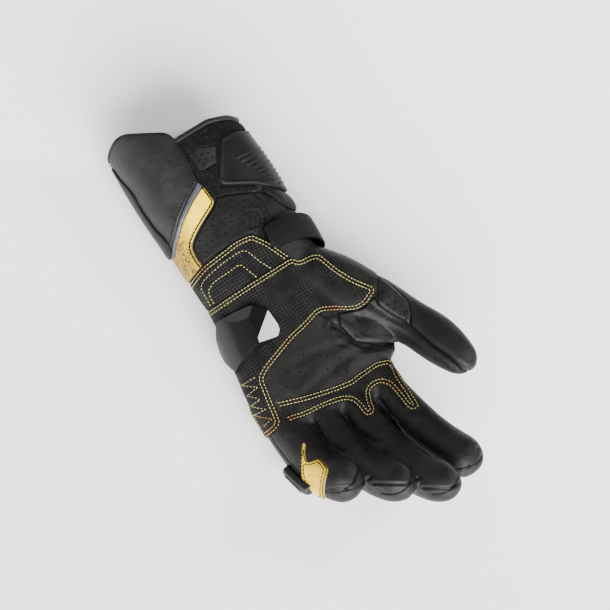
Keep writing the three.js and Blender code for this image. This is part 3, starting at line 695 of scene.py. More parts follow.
# In plan: where the fingers are sewn on
BASES = {"little": 112.5, "little_ring": 118, "ring_middle": 123, "middle_index": 127, "index": 124}
FENCES = {"little_ring": -33.5, "ring_middle": -8.5, "middle_index": 18.5}
LITTLE_SIDE = [(BASES["little"], -90), (400, -90)]
INDEX_SIDE = [(BASES["index"], 54), (170, 72.5), (400, 72.5)]
DIGITS_CUT = [LITTLE_SIDE[0], *((BASES[gap], y) for gap, y in FENCES.items()), *INDEX_SIDE, LITTLE_SIDE[1]]
# On the layout plane: the thumb's outer panel, over the ball of the thumb, and its inner one with the web,
# and the seam between them
THUMB_SEAM = [(92.4, 66.4), (110.6, 71.3), (126, 77.2), (138.6, 79.8), (146, 86.7)]
THUMB_OUTER = [
    (50, 68.1), (65.9, 72), (78.5, 74.6), (87.3, 71.4), *THUMB_SEAM, (149, 95), (160, 120), (20, 130),
    (35, 78),
]
THUMB_INNER = [
    *THUMB_SEAM, (149, 95), (175, 95), (170, 66), (128, 56), (101, 53), (97.6, 51.4), (91.8, 39.3),
    (81.8, 28.3), (66.7, 25.6), (58, 29.5), (64.1, 42.2), (64.5, 47.9), (62, 57), (68.5, 56),
    (79.1, 60.1),
]


def turned_in(depth):
    """How far a panel's edge is pulled down where it is sewn to the next."""
    return -SEAM_DEEP * np.clip(1 - depth / SEAM_WIDE, 0, 1) ** 2


SHELL_RINGS = (0.5, 1.3)
hand = [over(HAND_START, axis=0), outside(DIGITS_CUT, "plan"), outside(THUMB_OUTER), outside(THUMB_INNER)]
for name, side in (("palm_shell", over(SIDE_SEAM_Z)), ("back_shell", under(SIDE_SEAM_Z))):
    sheet = cut_out(hand + [side], SHELL_RINGS)
    seam = np.min([field(sheet[0]) for field in (side, hand[2], hand[3])], axis=0)
    shell(name, sheet, turned_in(seam), -LEATHER, cowhide, "black_leather")

# The fingers: a palm side and a back that wraps over the tip, of the same cowhide. They are sewn with
# the edges outwards, so a narrow ridge runs along each side.
BETWEEN_FINGERS = {
    "little_ring": [(160, -33.2), (195, -29), (400, -29)],
    "ring_middle": [(160, -7.8), (195, -3), (400, -3)],
    "middle_index": [(160, 20.5), (200, 24.5), (400, 24.5)],
}
for gap, line in BETWEEN_FINGERS.items():
    line.insert(0, (BASES[gap], FENCES[gap]))
ZONES = {
    "little": BETWEEN_FINGERS["little_ring"] + LITTLE_SIDE[::-1],
    "ring": BETWEEN_FINGERS["ring_middle"] + BETWEEN_FINGERS["little_ring"][::-1],
    "middle": BETWEEN_FINGERS["middle_index"] + BETWEEN_FINGERS["ring_middle"][::-1],
    "index": INDEX_SIDE + BETWEEN_FINGERS["middle_index"][::-1],
}


def above_bone(name, sign):
    """A field: how far a row lies above the middle of a digit's bone, or below it."""
    stations = np.array([row[1] for row in BONES[name]])
    rises = np.array([row[3] for row in BONES[name]])

    def field(rows):
        nearest = np.empty(len(rows), int)
        for begin in range(0, len(rows), 4000):
            part = rows[begin : begin + 4000, None, :3] - stations[None]
            nearest[begin : begin + 4000] = (part**2).sum(2).argmin(1)
        return sign * ((rows[:, :3] - stations[nearest]) * rises[nearest]).sum(1)

    return field


def smoothed(line, passes=6):
    """A line of rows without the small steps of the mesh that it was cut from."""
    line = line.copy()
    for _ in range(passes):
        line[1:-1] = (line[:-2] + 2 * line[1:-1] + line[2:]) / 4
    return line


def spaced(line, pitch):
    """Rows at even distances along a line, and the way that it runs at each."""
    length = np.concatenate([[0], np.cumsum(np.linalg.norm(np.diff(line[:, :3], axis=0), axis=1))])
    count = max(2, int(length[-1] / pitch))
    at = (np.arange(count) + 0.5) * length[-1] / count
    rows = np.stack([np.interp(at, length, line[:, k]) for k in range(line.shape[1])], 1)
    rows[:, 3:] /= np.linalg.norm(rows[:, 3:], axis=1)[:, None]
    way = np.gradient(rows[:, :3], axis=0)
    return rows, way / np.linalg.norm(way, axis=1)[:, None]


def swept(line, section, pitch=1.2):
    """Points and faces of a bar along a line: section holds pairs to the side of it and off the skin."""
    rows, way = spaced(line, pitch)
    side = np.cross(rows[:, 3:], way)
    rings = [
        rows[i, :3] + np.array([u * side[i] + v * rows[i, 3:] for u, v in section]) for i in range(len(rows))
    ]
    return loft(rings)


def joined(parts):
    """Several lots of points and faces as one."""
    points, faces = [], []
    for part_points, part_faces in parts:
        faces += [[i + len(points) for i in face] for face in part_faces]
        points += np.asarray(part_points).tolist()
    return np.array(points), faces


def add_parts(name, parts, material, slot, nodes=()):
    make_piece(name, *joined(parts), material, slot, nodes)


def round_section(radius, sides=6):
    turn = np.linspace(0, 2 * math.pi, sides, endpoint=False)
    return np.stack([radius * np.cos(turn), radius * np.sin(turn)], 1)


RIDGE = 0.55
for name, zone in ZONES.items():
    for part, sign in (("palm_side", 1), ("back", -1)):
        fields = [within(zone, "plan"), above_bone(name, sign)]
        rows, triangles, _ = cut_out(fields, SHELL_RINGS)
        seam = np.maximum(fields[1](rows), 0)
        piece = f"{name}_finger_{part}"
        shell(piece, (rows, triangles, seam), turned_in(seam), -LEATHER, cowhide, "black_leather")
    rows, triangles, _ = cut_out([within(zone, "plan")])
    ridges = [
        swept(smoothed(line), round_section(RIDGE) - [0, SEAM_DEEP * 0.35])
        for line in contour(rows, triangles, above_bone(name, 1)(rows))
    ]
    add_parts(f"{name}_finger_ridge", ridges, cowhide, "black_leather")

# The thumb: an outer panel over its ball and an inner one that runs down into the web, with the long
# double-stitched seam between them.
for name, outline in (("thumb_outer_panel", THUMB_OUTER), ("thumb_inner_panel", THUMB_INNER)):
    sheet = cut_out([over(HAND_START, axis=0), within(outline)], SHELL_RINGS)
    shell(name, sheet, turned_in(sheet[2]), -LEATHER, cowhide, "black_leather")

# The grip patches on the heel, the palm's outer half and the roots of the fingers: a tough black fabric
# with a fine net of raised threads, sewn down with two rows of yellow thread.
OUTLINES = {
    "heel_patch": [
        (-15, -47.5), (-20.1, -31.6), (-22.7, -4.1), (-21, 8.2), (-10.1, 15.3), (5.6, 21.9), (6.6, 21.5),
        (7, 6.8), (6.8, -9.5), (7, -26.6), (7.2, -44.2), (7.2, -62), (-12, -62),
    ],
    "palm_patch": [
        (7.4, 22.6), (12.3, 25.7), (13.6, 35), (16.4, 40.7), (32.5, 46.1), (43.5, 51.5), (56.9, 60.7),
        (60.8, 58.2), (64.5, 47.9), (64.1, 42.2), (57.7, 29.7), (52.2, 19.9), (51.8, 16.8), (54.7, 5.8),
        (57.2, -8.3), (61.4, -21.1), (65.4, -32.9), (68.6, -38.3), (75.4, -39.4), (84.2, -41.3),
        (95.5, -43.2), (101.3, -44.5), (103.5, -51.4), (104, -62), (7.6, -62), (7.6, -44.2), (7.3, -26.6),
        (7.1, -9.5), (7.3, 6.8),
    ],
    "finger_base_patch": [
        (85.9, -39.9), (93.4, -19.4), (99.4, 2.7), (101, 11.6), (100.4, 15.8), (100.4, 32.5), (104.4, 41.2),
        (109.6, 42.8), (117.9, 41.5), (131.5, 41.9), (143.2, 41.8), (145, 38.2), (143, 34.4), (139.3, 32.6),
        (129.1, 31.7), (120.8, 30.5), (116.4, 27.5), (114.5, 22.1), (115.9, 17.8), (122.5, 15.2),
        (128, 14.5), (130.9, 11.4), (130.4, 6.7), (126.7, 4.9), (119.7, 4.5), (114.5, 2.8), (110.9, -1.5),
        (108.7, -10), (105.8, -27.4), (103.4, -40), (94.8, -40.3),
    ],
}
# Where the palm patch laps over the others, their stitches run on under it: outlines for those stitches
SEWN_OUTLINES = dict(OUTLINES)
SEWN_OUTLINES["heel_patch"] = OUTLINES["heel_patch"][:5] + [(27, 30.9), (27, -62), (-12, -62)]
SEWN_OUTLINES["finger_base_patch"] = OUTLINES["finger_base_patch"][1:-2] + [(99.6, -60), (78.4, -60.4)]
NET_PITCH = 4.2


def run_along(place, axis):
    """How far a place lies along an axis."""
    return place.node("ShaderNodeVectorMath", {"operation": "DOT_PRODUCT"}, {0: place, 1: tuple(axis)}, 1)


def net(place):
    """Holes of the net: 1 in a hole, 0 on the threads between them."""
    waves = []
    for axis, pitch in ((ALONG, NET_PITCH), (ACROSS, NET_PITCH * 1.05)):
        run = run_along(place, axis * 2 * math.pi / pitch)
        waves.append((run + noise(place, 6) * 2 + noise(place, 28) * 9).math("COSINE"))
    return (waves[0] * waves[1]).math("ABSOLUTE").ramp(0.12, 0.42)


def net_colour(place):
    threads = noise(place, 11, 3).ramp(0.35, 0.65).mix((0.0045, 0.0044, 0.0042), (0.0155, 0.015, 0.0142))
    return net(place).mix(threads, (0.002, 0.002, 0.002))


grip_fabric = finish(
    "grip_net", net_colour, 0.62, lambda place: 1 - net(place), 0.3, Specular_IOR_Level=0.1
)
thread_yellow = finish(
    "yellow_thread",
    lambda place: noise(place, 26, 1).ramp(0.56, 0.66).mix((0.47, 0.41, 0.12), (0.5, 0.25, 0.04)),
    0.55,
    lambda place: noise(place, 0.3, 2),
    0.05,
)
thread_black = finish("black_thread", (0.004, 0.004, 0.004), 0.8, Specular_IOR_Level=0.1)

# How far in from a patch's edge its two rows of stitches run
ROWS = (1.4, 3.7)
PATCH_LIFT, PATCH, PATCH_ROUND = 0.08, 1.5, 1.1
STITCH_PITCH, STITCH_LONG, STITCH_THICK, STITCH_PULL = 2.5, 1.7, 0.43, 0.3


def patch_top(depth):
    """The height of a patch: rounded at its edge and pulled down along its stitches."""
    edge = np.sqrt(1 - (1 - np.clip(depth / PATCH_ROUND, 0, 1)) ** 2)
    top = PATCH_LIFT + PATCH * (0.25 + 0.75 * edge)
    for row in ROWS:
        top = top - STITCH_PULL * np.exp(-(((depth - row) / 0.8) ** 2))
    return top


def stitches(line, height, long=STITCH_LONG, thick=STITCH_THICK):
    """Points and faces of a row of stitches along a line, at a height over the skin."""
    rows, way = spaced(line, STITCH_PITCH)
    side = np.cross(rows[:, 3:], way)
    turn = np.linspace(0, 2 * math.pi, 6, endpoint=False)
    parts = []
    stations = [(-1, 0.35), (-0.8, 0.85), (0, 1), (0.8, 0.85), (1, 0.35)]
    for i in range(len(rows)):
        rings = []
        for u, share in stations:
            rise = height + thick * (0.3 - 0.45 * u * u)
            middle = rows[i, :3] + way[i] * u * long / 2 + rows[i, 3:] * rise
            around = np.outer(np.cos(turn), side[i]) + np.outer(np.sin(turn), rows[i, 3:])
            rings.append(middle + around * share * thick / 2)
        parts.append(loft(rings))
    return parts


def edge_stitches(sheet, row, height, thick=STITCH_THICK, long=STITCH_LONG):
    """Rows of stitches at a distance from a sheet's edge."""
    rows, triangles, depth = sheet
    parts = []
    for line in contour(rows, triangles, depth - row):
        if len(line) > 12:
            parts += stitches(smoothed(line), height, long=long, thick=thick)
    return parts


def facing_palm(rows):
    """A field that leaves out the thumb's side of the hand, under its edge."""
    return rows[:, 3:] @ OUT + 0.3


EDGE_Z = 13
PATCH_RINGS = (0.45, 1.0, 1.4, 2.4, 3.7, 4.6)
sheets = {}
for name, floor_z in (("heel_patch", EDGE_Z), ("palm_patch", EDGE_Z), ("finger_base_patch", SIDE_SEAM_Z)):
    edges = [over(floor_z), within(OUTLINES[name], radius=3)]
    sheet = cut_out(edges, PATCH_RINGS, [facing_palm])
    shell(name, sheet, patch_top(sheet[2]), PATCH_LIFT, grip_fabric, "grip_fabric")
    depth = np.minimum(edges[0](sheet[0]), within(SEWN_OUTLINES[name], radius=3)(sheet[0]))
    sheet = (*sheet[:2], depth)
    sewn = []
    for row in ROWS:
        sewn += edge_stitches(sheet, row, PATCH_LIFT + PATCH - 0.2)
    add_parts(f"{name}_thread", sewn, thread_yellow, "gold_leather")

# The finest leather, in the hollow of the palm and on the ball of the thumb, thin and punched with
# round holes.
INNER_PALM = [
    (50, 17.5), (66.7, 25.4), (81.8, 28), (91.8, 38.8), (97.4, 50), (105, 43), (102.7, 32.3),
    (102.7, 16), (103.2, 11.5), (101.6, 2.3), (95.6, -20), (88.5, -40), (84, -43.5), (75.4, -41.7),
    (67, -40.5), (63.3, -34), (59.2, -22), (55, -9), (52.3, 5.5),
]
THUMB_PANEL = [
    (50.6, 67.7), (65.9, 72), (78.5, 74.6), (87.3, 71.4), (91.8, 66.8), (79.1, 60.1), (68.5, 56),
    (62.5, 59.5), (57.2, 62.2),
]
FACING = 0.9
FACING_TOP = PATCH_LIFT + FACING
for name, outline in (("inner_palm_panel", INNER_PALM), ("thumb_perforated_panel", THUMB_PANEL)):
    sheet = cut_out([over(SIDE_SEAM_Z), within(outline, radius=3)], SHELL_RINGS)
    sheets[name] = sheet
    top = PATCH_LIFT + FACING * np.clip(sheet[2] / 1.6, 0, 1) ** 0.7
    shell(name, sheet, top, PATCH_LIFT, cowhide, "black_leather")

# On the little finger: a patch of gold leather on the palm side, hemmed with black thread, and a hard
# guard outside it, moulded in black rubber.
LITTLE_GOLD = [
    (118.6, -39.4), (121.2, -38.2), (125, -41.5), (131.6, -44.1), (133.1, -39.3), (133.8, -35.6),
    (139.4, -34.4), (143.3, -34), (149, -40.4), (154.5, -44.8), (161.1, -47.5), (154.8, -53.4),
    (150.6, -54.8), (143.4, -54.3), (136.9, -52.6), (128.7, -47.3),
]
# In plan
LITTLE_GUARD = [(134, -80), (132.5, -52), (156, -52), (154, -80)]
LITTLE_GUARD_TOP = -1.5
# How low the gold patch and the forearm guard reach on the hand's edge
GUARD_Z = 8


def bend_and_shade(place):
    """1 where the gold panel bends round the edge of the wrist and 0.35 on the little finger's patch: the
    mask of the gold's painted shade, which also sets where its foil cracks most.
    """
    along = run_along(place, ALONG)
    return run_along(place, -ACROSS).ramp(4, 26) * (1 - along.ramp(40, 60)) + along.ramp(150, 170) * 0.35


def gold_creases(place):
    """Fine cracks in the foil, close together where the panel bends."""
    crack = 1 - (noise(place, 3.4, 6) - 0.5).math("ABSOLUTE").ramp(0.0, 0.06)
    return crack * (bend_and_shade(place) * 0.85 + 0.15)


def gold_colour(place):
    """Gold foil on leather, with painted shade where it bends round the wrist's edge and on the little
    finger's patch, dark where its foil is cracked and dark brown along its edge.
    """
    clean = noise(place, 22, 2).ramp(0.3, 0.75).mix((1.0, 0.62, 0.01), (1.0, 0.76, 0.03))
    # Painted shade on the gold that turns down round the wrist's edge and on the little finger's patch
    shaded_gold = bend_and_shade(place).mix(clean, (0.3, 0.18, 0.012))
    worn = gold_creases(place).mix(shaded_gold, (0.05, 0.028, 0.006))
    return attribute(place, "edge").ramp(0.1, 0.8).mix((0.12, 0.08, 0.03), worn)


gold_leather = finish(
    "gold_leather",
    gold_colour,
    0.42,
    lambda place: cells(place, 0.9) * 0.3 - gold_creases(place),
    0.3,
    Metallic=0.1,
    Specular_IOR_Level=0.25,
)
rubber = finish(
    "moulded_rubber",
    lambda place: noise(place, 12).ramp(0.3, 0.8).mix((0.003, 0.003, 0.0032), (0.006, 0.006, 0.0063)),
    0.5,
    lambda place: noise(place, 0.5, 2),
    0.02,
    Specular_IOR_Level=0.17,
)
GOLD_ROWS, GOLD_STITCH_THICK, GOLD_STITCH_LONG = (0.9, 2.6), 0.9, 2.3
sheet = cut_out([over(GUARD_Z), within(LITTLE_GOLD, radius=3)], SHELL_RINGS)
top = PATCH_LIFT + FACING * np.clip(sheet[2] / 1.2, 0, 1) ** 0.6
shell("little_finger_gold_patch", sheet, top, PATCH_LIFT, gold_leather, "gold_leather")
sewn = []
for row in GOLD_ROWS:
    sewn += edge_stitches(sheet, row, FACING_TOP - 0.1, GOLD_STITCH_THICK, GOLD_STITCH_LONG)
add_parts("little_finger_gold_thread", sewn, thread_black, "black_leather")


# Each guard's lift, its thickness, the width of its rounded edge, how far in from it the ridge runs
GUARDS = {
    "little_finger_guard": (0.3, 6, 1.6, 5),
    "knuckle_guard": (0.3, 2.4, 3, 7),
    "forearm_guard": (2.2, 1.8, 2.4, 3),
}
GUARD_RINGS = (0.4, 1.0, 2.0, 3.2, 5)


def moulded(name, fields):
    """A hard guard: a rounded slab with a raised ridge set in from its edge."""
    lift, thick, round_off, ridge = GUARDS[name]
    sheet = cut_out(fields, GUARD_RINGS)
    depth = sheet[2]
    edge = np.sqrt(1 - (1 - np.clip(depth / round_off, 0, 1)) ** 2)
    top = lift + thick * (0.3 + 0.55 * edge + 0.15 * np.exp(-(((depth - ridge) / 1.2) ** 2)))
    shell(name, sheet, top, lift, rubber, "moulded_rubber")


above_little = above_bone("little", -1)
fields = [within(LITTLE_GUARD, "plan", 3), lambda rows: above_little(rows) + LITTLE_GUARD_TOP]
moulded("little_finger_guard", fields)

# Under the back of the hand, out of the photo's sight: the hard guard over the knuckles, a rubber shell
# with a rounded rim that is sewn on round its edge.
KNUCKLE_GUARD = [
    (70, -40), (82, -46), (100, -42), (104, -20), (110, 10), (108, 36), (92, 40), (78, 30), (72, 0),
]
moulded("knuckle_guard", [under(EDGE_Z), within(KNUCKLE_GUARD, "plan", 8)])

# The gauntlet. Its inner layer is the lining, with a bound edge, and on it the field of black loop pile
# that the flap closes over. The flap and the back are one leather, with a grey stripe and a gold panel.
CUFF_LINING = [
    (-104.4, -70), (-104.4, 26), (-100, 39), (-94, 46), (-88.3, 48), (-81.5, 60), (40, 70), (40, -70),
]
CUFF_FLAP = [
    (-111, -1, 6), (-90, 0, 10), (-71.2, -3.3), (-64.3, -15.3), (-56.3, -27.3), (-46.3, -37.8),
    (-36.8, -47.8), (-27.8, -62), (-113, -62), (-116.5, -52), (-120, -47.5, 5), (-124.8, -42, 6),
    (-128, -35, 6), (-127.5, -28, 8), (-119, -14, 10),
]
GREY_STRIPE = [
    (-71, -3.2), (-66.8, -1.9), (-61.1, -13.6), (-53.5, -25.8), (-44, -36.8), (-34.1, -46.9),
    (-24.8, -62), (-27.6, -62), (-36.7, -47.8), (-46.2, -37.8), (-56.2, -27.3), (-64.2, -15.3),
]
GOLD_PANEL = [
    (-66.7, -1.7), (-54, -1, 3), (-51.6, -2.8, 4), (-42, -22.3, 8), (-36, -30.5, 5), (-27.4, -32, 4),
    (-20.6, -31.5), (-15.5, -47.5), (-12.5, -62), (-24.7, -62), (-34, -46.9), (-43.9, -36.8),
    (-53.4, -25.8), (-61, -13.6),
]
LOOP_FIELD = [
    (-101.8, -0.6), (-101.8, 25), (-97.6, 37.2), (-92, 43.6), (-87.5, 46), (-83.5, 47.4), (-86.1, 42.2),
    (-88.9, 33.4), (-89.2, 25), (-65.5, 8.6), (-59.4, 9.2), (-48.4, 28.4), (-44.9, 31), (-45.2, 26),
    (-53.3, 9.4), (-55.6, -0.9), (-66.7, -1.4), (-71, -2.8), (-90, -0.4),
]
WINDOW = [(-90.5, 1.5), (-91.4, 9.7), (-86.3, 21.4), (-75.3, 15.1), (-75.6, 4.4), (-77.3, 2)]
CUFF_BACK = [(-116, -60), (-116, 5), (-112, 24), (-102, 60), (-20, 60), (-20, -60)]
CUFF_SEAM_Z = 16
FLAP_LIFT, FLAP = 0.3, 1.6

lining_cloth = finish(
    "lining_cloth",
    lambda place: noise(place, 6).ramp(0.3, 0.8).mix((0.008, 0.008, 0.009), (0.015, 0.015, 0.016)),
    0.75,
    lambda place: cells(place, 0.9),
    0.15,
    Specular_IOR_Level=0.25,
)
loop_pile = finish(
    "loop_pile",
    lambda place: noise(place, 0.7, 4).ramp(0.5, 0.74).mix((0.002, 0.002, 0.002), (0.03, 0.03, 0.028)),
    0.85,
    lambda place: noise(place, 0.8, 4),
    0.7,
    Specular_IOR_Level=0.08,
)
grey_leather = finish(
    "grey_leather",
    lambda place: noise(place, 1.4, 3).ramp(0.35, 0.7).mix((0.026, 0.03, 0.037), (0.058, 0.065, 0.076)),
    0.4,
    lambda place: cells(place, 0.7),
    0.06,
)
flap_leather = finish(
    "flap_leather",
    leather_colour((0.0045, 0.0046, 0.0049), (0.0115, 0.0116, 0.012)),
    lambda place: 0.45 + noise(place, 7, 3) * 0.15,
    leather_grain,
    0.14,
    Specular_IOR_Level=0.25,
)


def tucked(depth, thick, wide=1.6):
    """The height of a layer of the cuff whose edge is turned under."""
    return FLAP_LIFT + thick * (0.35 + 0.65 * np.sqrt(1 - (1 - np.clip(depth / wide, 0, 1)) ** 2))


sheet = cut_out([under(HAND_START, axis=0), within(CUFF_LINING)])
shell("cuff_lining", sheet, 0, -LEATHER, lining_cloth, "lining_fabric")
HEM_RINGS = (0.4, 1.0, 1.8)
over_seam = over(CUFF_SEAM_Z)
LOOP_EDGES = [over_seam, within(LOOP_FIELD, radius=3), outside(WINDOW)]
layers = [
    ("cuff_flap", [over_seam, within(CUFF_FLAP)], FLAP, flap_leather, "black_leather"),
    ("cuff_grey_stripe", [over_seam, within(GREY_STRIPE)], FLAP, grey_leather, "grey_leather"),
    ("cuff_gold_panel", [over_seam, within(GOLD_PANEL)], FLAP, gold_leather, "gold_leather"),
    ("cuff_back", [under(CUFF_SEAM_Z), within(CUFF_BACK, "plan", 10)], FLAP, flap_leather, "black_leather"),
    ("cuff_loop_field", LOOP_EDGES, FACING, loop_pile, "loop_fabric"),
    ("cuff_window", [over_seam, within(WINDOW)], FACING - 0.3, flap_leather, "black_leather"),
]
for name, fields, thick, material, slot in layers:
    sheets[name] = cut_out(fields, HEM_RINGS)
    shell(name, sheets[name], tucked(sheets[name][2], thick), FLAP_LIFT, material, slot)

# The binding: a strip of leather folded over the lining's open edge and sewn down, with a thin piped
# cord beside it.
# How far in from the edge each runs, half its width, half its thickness
BINDING = [(0.9, 2.3, 1.7), (4.2, 0.7, 0.7)]
BINDING_END = -60
bound = []
for inset, half_wide, thick in BINDING:
    rows, triangles, _ = cut_out([under(BINDING_END, axis=0)])
    for line in contour(rows, triangles, within(CUFF_LINING)(rows) - inset):
        if len(line) > 30:
            section = round_section(1, 12) * [half_wide, thick] + [0, -0.1]
            bound.append(swept(smoothed(line, 20), section, 2))
binding_leather = finish(
    "binding_leather", (0.007, 0.0075, 0.0078), 0.5, leather_grain, 0.1, Specular_IOR_Level=0.25
)
add_parts("cuff_edge_binding", bound, binding_leather, "black_leather", ["cuff_edge_binding"])

# The closure's pull: a moulded rubber panel with a raised rim and short ribs to hold it by. What is
# embossed on the real one is left out.
RIBBED_PANEL = [
    (-88.5, 25.7), (-88, 33), (-85.5, 41.8), (-82.7, 48), (-80, 62), (-21, 62), (-27.5, 47.5),
    (-30, 46.5), (-36.5, 42.5), (-43, 35.7), (-48.5, 29.8), (-60, 10.6), (-65, 9.6),
]
RIBS = {
    "first": -72, "pitch": 3.8, "count": 9, "wide": 1.9, "from": 27, "to": 66, "step": 1.9, "lean": 4,
    "rise": 0.75, "slope": 0.7,
}
PANEL_RINGS = (0.4, 1.0, 1.8, 2.8, 3.8)
PANEL_THICK, PANEL_RIM, PANEL_SLOPE, PANEL_SUNK = 1.9, 1.8, 1.2, 0.3
edges = [over_seam, within(RIBBED_PANEL, radius=4)]
rows, triangles, _ = cut_out(edges, PANEL_RINGS)
rib_strips = []
for k in range(RIBS["count"]):
    near = RIBS["first"] + k * RIBS["pitch"]
    start = RIBS["from"] + k * RIBS["step"]
    far = near + RIBS["wide"]
    ends = [(far + RIBS["lean"], RIBS["to"]), (near + RIBS["lean"], RIBS["to"])]
    rib_strips.append(within([(near, start), (far, start), *ends]))


def ribs(rows):
    return np.max([strip(rows) for strip in rib_strips], axis=0)


for level in (0, RIBS["slope"]):
    rows, triangles = split(rows, triangles, ribs(rows) - level, both=True)
rows[:, 3:] /= np.linalg.norm(rows[:, 3:], axis=1)[:, None]
depth = np.maximum(np.min([field(rows) for field in edges], axis=0), 0)
sunk = PANEL_SUNK * np.clip((depth - PANEL_RIM) / PANEL_SLOPE, 0, 1)
top = tucked(depth, PANEL_THICK, PANEL_SLOPE) - sunk
top = top + RIBS["rise"] * np.clip(ribs(rows) / RIBS["slope"], 0, 1)
shell("cuff_ribbed_panel", (rows, triangles, depth), top, FLAP_LIFT, rubber, "moulded_rubber")

# The wrist's palm side: thin punched leather over stretch cloth, and beside it a padded roll of leather
# that keeps the strap in its place.
WRIST_PANEL = [
    (-54.8, 1.2), (-52.4, 8.8), (-44.4, 25.2), (-41.5, 30.5), (-31.7, 35.6), (-22, 37.7), (-21.1, 24.1),
    (-17.9, 18.2), (-22.6, 9.1), (-24, -3.3), (-21.6, -30.6), (-27.4, -31.2), (-35.2, -30.2),
    (-41, -21.5), (-51.5, -1.5),
]
WRIST_GUSSET = [
    (-44.2, 32.3), (-41.8, 31.5), (-31.7, 36.4), (-22, 38.5), (-16, 46), (-12, 62), (-19, 62),
    (-26.2, 46.9), (-29, 45.5), (-35.6, 41.4), (-42, 34.7),
]
GUSSET_EDGE, GUSSET_ROLL, GUSSET_ROUND = 0.4, 2.1, 7
matt_leather = finish(
    "matt_leather",
    leather_colour((0.0034, 0.0033, 0.0031), (0.0074, 0.0072, 0.0067)),
    lambda place: 0.5 + noise(place, 9, 3) * 0.14,
    leather_grain,
    0.18,
    Specular_IOR_Level=0.12,
)
sheets["wrist_perforated_panel"] = sheet = cut_out([over_seam, within(WRIST_PANEL, radius=3)], HEM_RINGS)
top = tucked(sheet[2], FACING)
shell("wrist_perforated_panel", sheet, top, FLAP_LIFT, matt_leather, "black_leather")
sheet = cut_out([over_seam, within(WRIST_GUSSET, radius=5)], HEM_RINGS)
top = FLAP_LIFT + GUSSET_EDGE + GUSSET_ROLL * np.sqrt(1 - (1 - np.clip(sheet[2] / GUSSET_ROUND, 0, 1)) ** 2)
shell("wrist_gusset", sheet, top, FLAP_LIFT, matt_leather, "black_leather")

# The forearm guard: a hard rubber shell sewn to the flap's outer edge, with a rounded rim and a hollow in
# its face.
FOREARM_GUARD = [
    (-117, -62), (-116.5, -46), (-101.3, -45.6), (-90, -43.4), (-77, -44.6), (-58, -43.6), (-49.3, -41.4),
    (-38, -43.5), (-35, -50), (-36, -62),
]
moulded("forearm_guard", [over(GUARD_Z), within(FOREARM_GUARD, radius=6)])

# The wrist strap: a leather band sewn to the back of the wrist, round the thumb's side to its hook tab
# on the palm. It is thickest along its middle and has a stitched edge.
# The strap's middle: turn about the wrist, x, how far off the wrist
STRAP = [
    (86, -8, 3), (60, -8, 3), (42, -6, 3.4), (26, -3, 5), (8, 1, 6), (-14, 3, 5), (-36, 2, 3),
    (-60, 0, 2), (-84, -1, 1.6),
]
STRAP_STEPS, STRAP_END_ROUND = 70, 9
STRAP_WIDE, STRAP_THICK = 19, 1.8


def about_wrist(turn, x, off):
    """A point over the body's section at x, by the turn about it from the thumb's side."""
    _, y, wide, low, high, _ = between(BODY, x)
    c, s = math.cos(math.radians(turn)), math.sin(math.radians(turn))
    rise = ((high - low) / 2 + off) * math.copysign(abs(s) ** (2 / BODY_POWER), s)
    return (x, y + (wide / 2 + off) * c ** (2 / BODY_POWER), (low + high) / 2 + rise)


strap_table = [(-turn, x, off) for turn, x, off in STRAP]
strap_rings = []
for turn in np.linspace(strap_table[0][0], strap_table[-1][0], STRAP_STEPS):
    _, x, off = between(strap_table, turn)
    end = min(1, (turn - strap_table[0][0]) / STRAP_END_ROUND + 0.3)
    half = STRAP_WIDE / 2 * math.sqrt(1 - (1 - end) ** 2)
    profile = [(-1, 0), (-1, 0.5), (-0.97, 0.85), (-0.9, 1), (-0.82, 0.93), (-0.74, 1.02), (-0.4, 1.12)]
    profile += [(0, 1.15)] + [(-u, v) for u, v in reversed(profile)]
    strap_rings.append([about_wrist(-turn, x + u * half, off + v * STRAP_THICK) for u, v in profile])
add_parts("wrist_strap", [loft(strap_rings)], matt_leather, "black_leather", ["wrist_strap"])

# The slider on the heel of the palm: a block of hard black plastic with polished facets, riveted on.
# The mark moulded into its face is left out.
SLIDER = {
    "thumb": (30.2, -10.8, 33.8), "end": (48.6, -13.9, 34), "crest_start": (26.7, -24, 41.5),
    "crest_end": (42, -26.3, 43.5),
}
# Each flat facet: three points that its plane goes through
SLIDER_FACETS = [
    [(27, -25.5, 41.7), (20.3, -46.1, 36), (19.2, -29.6, 35.2)],
    [SLIDER["crest_start"], SLIDER["crest_end"], SLIDER["thumb"]],
    [SLIDER["thumb"], SLIDER["crest_end"], SLIDER["end"]],
    [(45.7, -28.5, 43.9), (54.3, -51.8, 31.7), (49.6, -26, 35.5)],
]
# The face beside the crest is round: its radius, and how far it turns down
FACE_RADIUS, FACE_TURN, FACE_STEPS = 31, math.radians(70), 29
SLIDER_RIM = [
    (22.7, -16.3), (20.5, -19.7), (18.7, -29.6), (17.6, -42.1), (18.5, -45.5), (23.5, -49.5),
    (28.2, -52.3), (36.6, -54.9), (43.8, -55.6), (50.8, -54), (55.1, -51.8), (55.6, -48.5), (49.2, -25),
    (48.6, -13.9), (45.6, -10.8), (41.3, -9.8), (30.2, -10.3),
]
SLIDER_FOOT, SLIDER_TALL = 12, 60
SLIDER_BEVEL, SLIDER_SHARPEST = 0.7, 8


def worn_gloss(place):
    """Polished on the flat facets, and duller on the round face, where it scrapes."""
    return 0.11 + run_along(place, -ACROSS).ramp(13, 22) * 0.2


